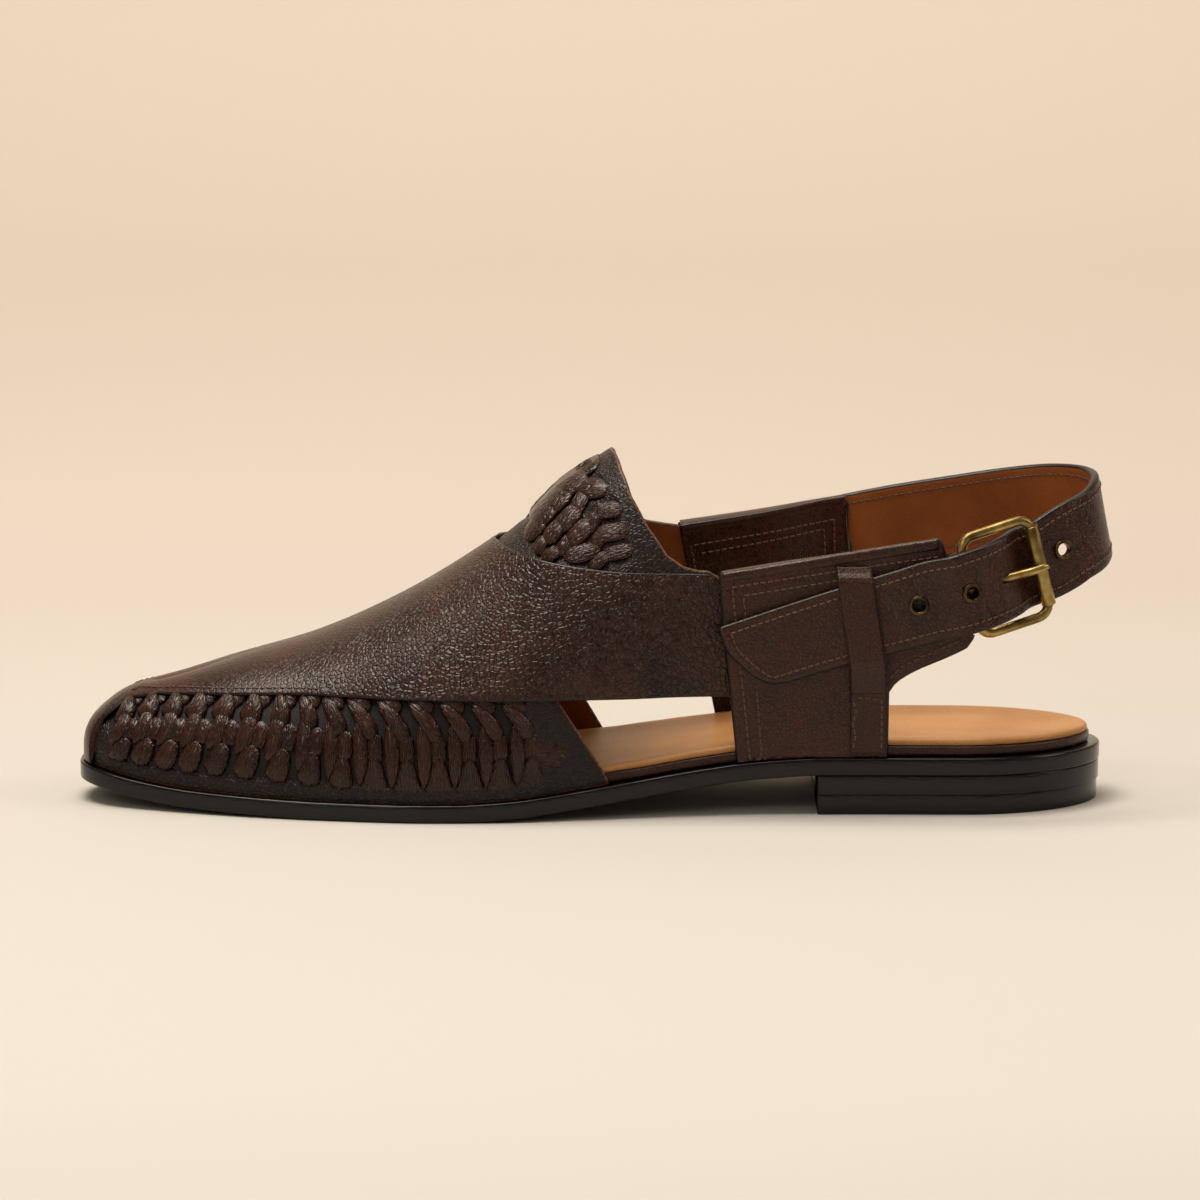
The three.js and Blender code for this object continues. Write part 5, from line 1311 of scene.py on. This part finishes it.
# %% [markdown]
# The strap is drawn flat first, by its length along and its share of the width, as it would be cut from
# the hide. Each hole sits in a cell of rings, and the cells share their borders with plain spans between.
# PRONG_STOP is the prong hole's place, counted in the stops that the strap's line passes.

# %% Holes and nose on the flat strap
EYELET_RUNS = [run_at(share * LENGTH) for share in (0.8165, 0.8655, 0.967)]
PRONG_STOP, PRONG_HOLE = 11.62, (3.0, 1.65)
PRONG_RUN = float(np.interp(PRONG_STOP, PLACES, STRAP_RUN))
HOLES = sorted([(run, EYELET_HOLE / 2, EYELET_HOLE / 2) for run in EYELET_RUNS] + [(PRONG_RUN, *PRONG_HOLE)])
CELL, ACROSS = 5.2, np.linspace(-1, 1, 25)
NOSE = table("share x", [(-1, 208), (-0.9, 204), (-0.64, 200.6), (-0.13, 197.3), (0.37, 195), (1, 194.6)])
nose_x = through(NOSE["share"], NOSE["x"])


def hole_cell(run, along_radius, across_radius):
    """Flat patch with a hole: rings from an ellipse out to the cell's border, whose points are shared
    with the plain spans on either side."""
    edge = np.linspace(-1, 1, 21)
    left = np.stack([-1 + 0 * ACROSS, ACROSS], -1)
    top = np.stack([edge, 1 + 0 * edge], -1)
    border = np.concatenate([left[::-1], (top * [1, -1])[1:], left[1:] * [-1, 1], top[::-1][1:]])
    half = float(np.interp(run, STRAP_RUN, HALF_STRAP))
    angle = np.arctan2(border[:, 1] * half, border[:, 0] * CELL)
    ring = np.stack([np.cos(angle) * along_radius / CELL, np.sin(angle) * across_radius / half], -1)
    t = (np.linspace(0, 1, 15) ** 1.3)[:, None, None]
    flat = lerp(ring, border, t)
    return run + flat[..., 0] * CELL, flat[..., 1]


# %% [markdown]
# The strap has been worn bent over the bar, so it is creased there. Each crease has its run from the bar,
# its slant over the half width, its spread and its depth, all in millimetres.

# %% Creased strap with its seams
BAR_RUN = run_at(0.8655 * LENGTH)
CREASES = table("run slant spread depth", [
    (-1.5, 1.0, 0.9, 0.3), (1.5, 1.4, 0.8, 0.5), (4.0, -1.1, 0.9, 0.6), (6.4, 1.6, 0.8, 0.55),
    (8.8, 0.6, 0.9, 0.45), (-10, 2.2, 1.4, 0.22), (-24, -1.5, 1.8, 0.18), (31, -1.2, 1.2, 0.3),
    (35, 1.4, 1.3, 0.28), (70, -1.2, 2.2, 0.18),
])


def crease_depth(run, share):
    """How deep the strap's face is creased: soft troughs that run across it and fade at its edges."""
    away = run[..., None] - BAR_RUN - CREASES["run"] - CREASES["slant"] * share[..., None]
    return (CREASES["depth"] * np.exp(-((away / CREASES["spread"]) ** 2))).sum(-1) * (1 - share**4)


def strap_patches():
    """Flat patches of the strap: plain spans between cells with holes."""
    nose = np.array([run_at(x) for x in nose_x(ACROSS)])
    starts = [nose] + [run + CELL + 0 * nose for run, _, _ in HOLES]
    ends = [run - CELL + 0 * nose for run, _, _ in HOLES] + [STRAP_RUN[-1] + 0 * nose]
    patches = []
    for low, high in zip(starts, ends):
        count = max(int((high - low).max() / 0.8), 2)
        patches.append((lerp(low, high, np.linspace(0, 1, count)[:, None]), ACROSS + np.zeros((count, 1))))
    return patches + [hole_cell(*hole) for hole in HOLES]


def strap_seam(run, share, out):
    """Stitches on the strap along flat coordinates."""
    face = along_strap(run, FACE) * np.sign(out)
    return stitches(strap_point(run, share, out + 0 * run), face)


patches = strap_patches()
strap_faces = [strap_point(*flat, MIDDLE - crease_depth(*flat)) for flat in patches]
strap_backs = [strap_point(*flat, -MIDDLE) for flat in patches]
nose_share = np.linspace(0.8, -0.8, 40)
nose_run = np.array([run_at(x) for x in nose_x(nose_share)]) + 2.4
upper_run, lower_run = (np.arange(start, STRAP_RUN[-1] - 2, 0.8) for start in nose_run[[0, -1]])
seams = [strap_seam(upper_run, 0.8 + 0 * upper_run, side * MIDDLE) for side in (-1, 1)]
seams += [strap_seam(lower_run, -0.8 + 0 * lower_run, side * MIDDLE) for side in (-1, 1)]
seams.append(strap_seam(nose_run, nose_share, MIDDLE))
strap_leather = cut_leather(list(zip(strap_faces, strap_backs)), "strap_grain", "lining", "edge", 0.3)
points, groups = joined([strap_leather, sewn(seams)])
put("heel_strap", points, groups, ["heel_strap"])

# %% [markdown]
# Each hole is lined with a brass ring: a tube pressed through, with a flange turned over on the face.

# %% Eyelets
FLANGE_SEAT, FLANGE_RISE, BARREL_DEPTH = 0.05, 0.62, 1.9 * MIDDLE
bore, rim, barrel = EYELET_BORE / 2, EYELET_DIAMETER / 2, EYELET_HOLE / 2 - 0.15
curve = np.linspace(0, np.pi, 9)
flange_radius = (bore + rim) / 2 + (rim - bore) / 2 * np.cos(curve)
flange = list(zip(flange_radius, FLANGE_SEAT + FLANGE_RISE * np.sin(curve)))
profile = [(bore, -BARREL_DEPTH), (barrel, -BARREL_DEPTH), (barrel, FLANGE_SEAT)] + flange
for number, run in enumerate(EYELET_RUNS, 1):
    place = np.array(run)
    ring = turned(profile, strap_point(place, 0 * place, MIDDLE + 0 * place), along_strap(place, FACE))
    metal(f"eyelet_{number}", [ring], [f"eyelet_{number}"], "dark_brass")

# %% [markdown]
# ## Keeper
# The keeper is a narrow band of thinner leather over the strap. It is caught under the quarter's rolled
# edge and sewn down near the sole, and takes the strap's shape where it crosses it.

# %% Keeper over the strap
KEEPER = table("at height lift thick", [
    (0.7535, 1.03, 0.1, 1), (0.754, 1.01, 0.4, 1), (0.7548, 0.985, 0.85, 1), (0.7555, 0.963, 1, 1),
    (0.758, 0.9, 1, 1), (0.761, 0.812, 1, 1), (0.764, 0.73, 1, 1), (0.7665, 0.65, 1, 1),
    (0.7675, 0.6, 0.66, 1), (0.768, 0.55, 0.25, 1), (0.7685, 0.51, 0.06, 1),
    (0.7685, 0.505, 0.02, 0.45), (0.7685, 0.42, 0, 0.4),
    (0.7685, 0.3, 0, 0.4), (0.7685, 0.26, 0, 0.4),
])


def keeper_sheets():
    """Two sheets of the keeper: its places are joined by smooth curves over their own number."""
    number = np.arange(len(KEEPER["at"]), dtype=float)
    t = np.linspace(0, number[-1], 150)
    at, height, lift, thick = (through(number, column)(t)[:, None] for column in KEEPER.values())
    s = np.linspace(-0.5, 0.5, 13)[None, :]
    x, z = at * LENGTH + s * KEEPER_WIDTH, height * COLLAR_HEIGHT + 0 * s
    inside = lerp(STRAP_IN, STRAP_OUT + 2 * GAP, lift) + 0 * x
    r, v = find(x, z, -1, inside)
    outer, inner = drawn(r, v, inside + thick * KEEPER_THICKNESS), drawn(r, v, inside)
    return outer[::-1], inner[::-1]


keeper_offset = STRAP_IN + 0.4 * KEEPER_THICKNESS
puckered_line = polyline((0.754, 0.28), (0.7565, 0.33), (0.7535, 0.38), (0.757, 0.43), (0.754, 0.48))
straight_line = polyline((0.7815, 0.28), (0.7815, 0.48), (0.756, 0.49))
keeper_seams = [seam(*line, -1, keeper_offset) for line in (puckered_line, straight_line)]
points, groups = joined([cut_leather([keeper_sheets()], "smooth", "smooth", "edge"), sewn(keeper_seams)])
put("strap_keeper", points, groups, ["strap_keeper"])

# %% [markdown]
# ## Lights and camera
# The camera looks at the outer side from a little above, through a long lens. AIM is the place that it
# looks at, in the shoe's own millimetres.

# %% Camera
SENSOR_WIDTH = 36
AIM = np.array([156.0, 0.0, 59.06])
DISTANCE, LOOK_DOWN, FRAME_WIDTH = 2000.0, math.radians(8.7), 359.5


def camera():
    """Camera at the photograph's angle: the frame is FRAME_WIDTH millimetres wide at the aim."""
    data = bpy.data.cameras.new("camera")
    data.sensor_width = SENSOR_WIDTH
    data.lens = SENSOR_WIDTH * DISTANCE / FRAME_WIDTH
    data.clip_end = 50
    eye = AIM + DISTANCE * np.array([0, -math.cos(LOOK_DOWN), math.sin(LOOK_DOWN)])
    camera_object = bpy.data.objects.new("camera", data)
    camera_object.location = (eye + SHIFT) / 1000
    camera_object.rotation_euler = (math.pi / 2 - LOOK_DOWN, 0, 0)
    bpy.context.scene.collection.objects.link(camera_object)
    bpy.context.scene.camera = camera_object


# %% [markdown]
# The paper is one sheet. It lies flat under the shoe and bends up far behind it, so that no line of a
# horizon shows.

# %% Paper sweep
def paper():
    """Matt paper with painted light and shade: greyest just behind the shoe, a little lighter at the front
    edge and lightest at the far end.
    """
    tree = new_material("paper")
    place = add(tree, "ShaderNodeTexCoord").outputs["Object"]
    depth = add(tree, "ShaderNodeSeparateXYZ", Vector=place).outputs["Y"]
    share = add(tree, "ShaderNodeMapRange", Value=depth, From_Min=-0.4, From_Max=2.2)
    # Painted light and shade along the paper's depth, from its front edge to the top of the far wall
    painted_light_stops = [(0.0, "#cfcbc5"), (0.154, "#c3beb7"), (0.32, "#c2b9af"), (0.577, "#d3c8bc"), (1.0, "#f0e3d4")]
    finish(tree, Base_Color=ramp(tree, share.outputs[0], painted_light_stops), Roughness=0.9)
    return MATERIALS["paper"]


def paper_sweep():
    """Floor that bends up into a wall: a profile carried sideways."""
    turn = np.linspace(0, np.pi / 2, 24)
    bend = np.stack([1.6 + 0.9 * np.sin(turn), 0.9 - 0.9 * np.cos(turn)], -1)
    profile = np.concatenate([[[-4.0, 0.0]], bend, [[2.5, 5.0]]])
    width = np.array([-5.0, 5.0])
    grid = np.stack([width[:, None] + 0 * profile[:, 0], *(profile.T[:, None] + 0 * width[:, None])], -1)
    mesh = bpy.data.meshes.new("paper_sweep")
    mesh.from_pydata(grid.reshape(-1, 3).tolist(), [], grid_quads(2, len(profile)).tolist())
    mesh.materials.append(paper())
    mesh.polygons.foreach_set("use_smooth", [True] * len(mesh.polygons))
    sweep = bpy.data.objects.new("paper_sweep", mesh)
    bpy.context.scene.collection.objects.link(sweep)


# %% [markdown]
# Four soft lights: one over the shoe, one in front on the left, one on the right and one for the paper. A
# dim room fills the shadows.

# %% Lights
def soft_light(name, place, target, size, power, code="#fff6ea"):
    """A square soft light in metres, turned to its target."""
    data = bpy.data.lights.new(name, "AREA")
    data.size = size
    data.energy = power
    data.color = colour(code)[:3]
    light = bpy.data.objects.new(name, data)
    back = unit(np.array(place, float) - np.array(target, float))
    yaw, pitch = math.atan2(back[0], -back[1]), math.acos(back[2])
    light.location = place
    light.rotation_euler = (pitch, 0, yaw)
    bpy.context.scene.collection.objects.link(light)


camera()
paper_sweep()
soft_light("top", (-0.35, -0.05, 1.45), (0, 0, 0.03), 0.85, 21)
soft_light("front", (-0.8, -1.6, 1.1), (0, 0, 0.05), 0.7, 4.5)
soft_light("side", (1.2, -0.1, 0.9), (0.08, 0, 0.06), 0.5, 4)
soft_light("wall", (0, 0.7, 2.6), (0, 2.5, 0.6), 1.6, 40)
world = bpy.data.worlds.new("room")
world.use_nodes = True
world.node_tree.nodes["Background"].inputs["Color"].default_value = colour("#f6e9d8")
world.node_tree.nodes["Background"].inputs["Strength"].default_value = 0.27
bpy.context.scene.world = world
bpy.context.scene.view_settings.view_transform = "Standard"
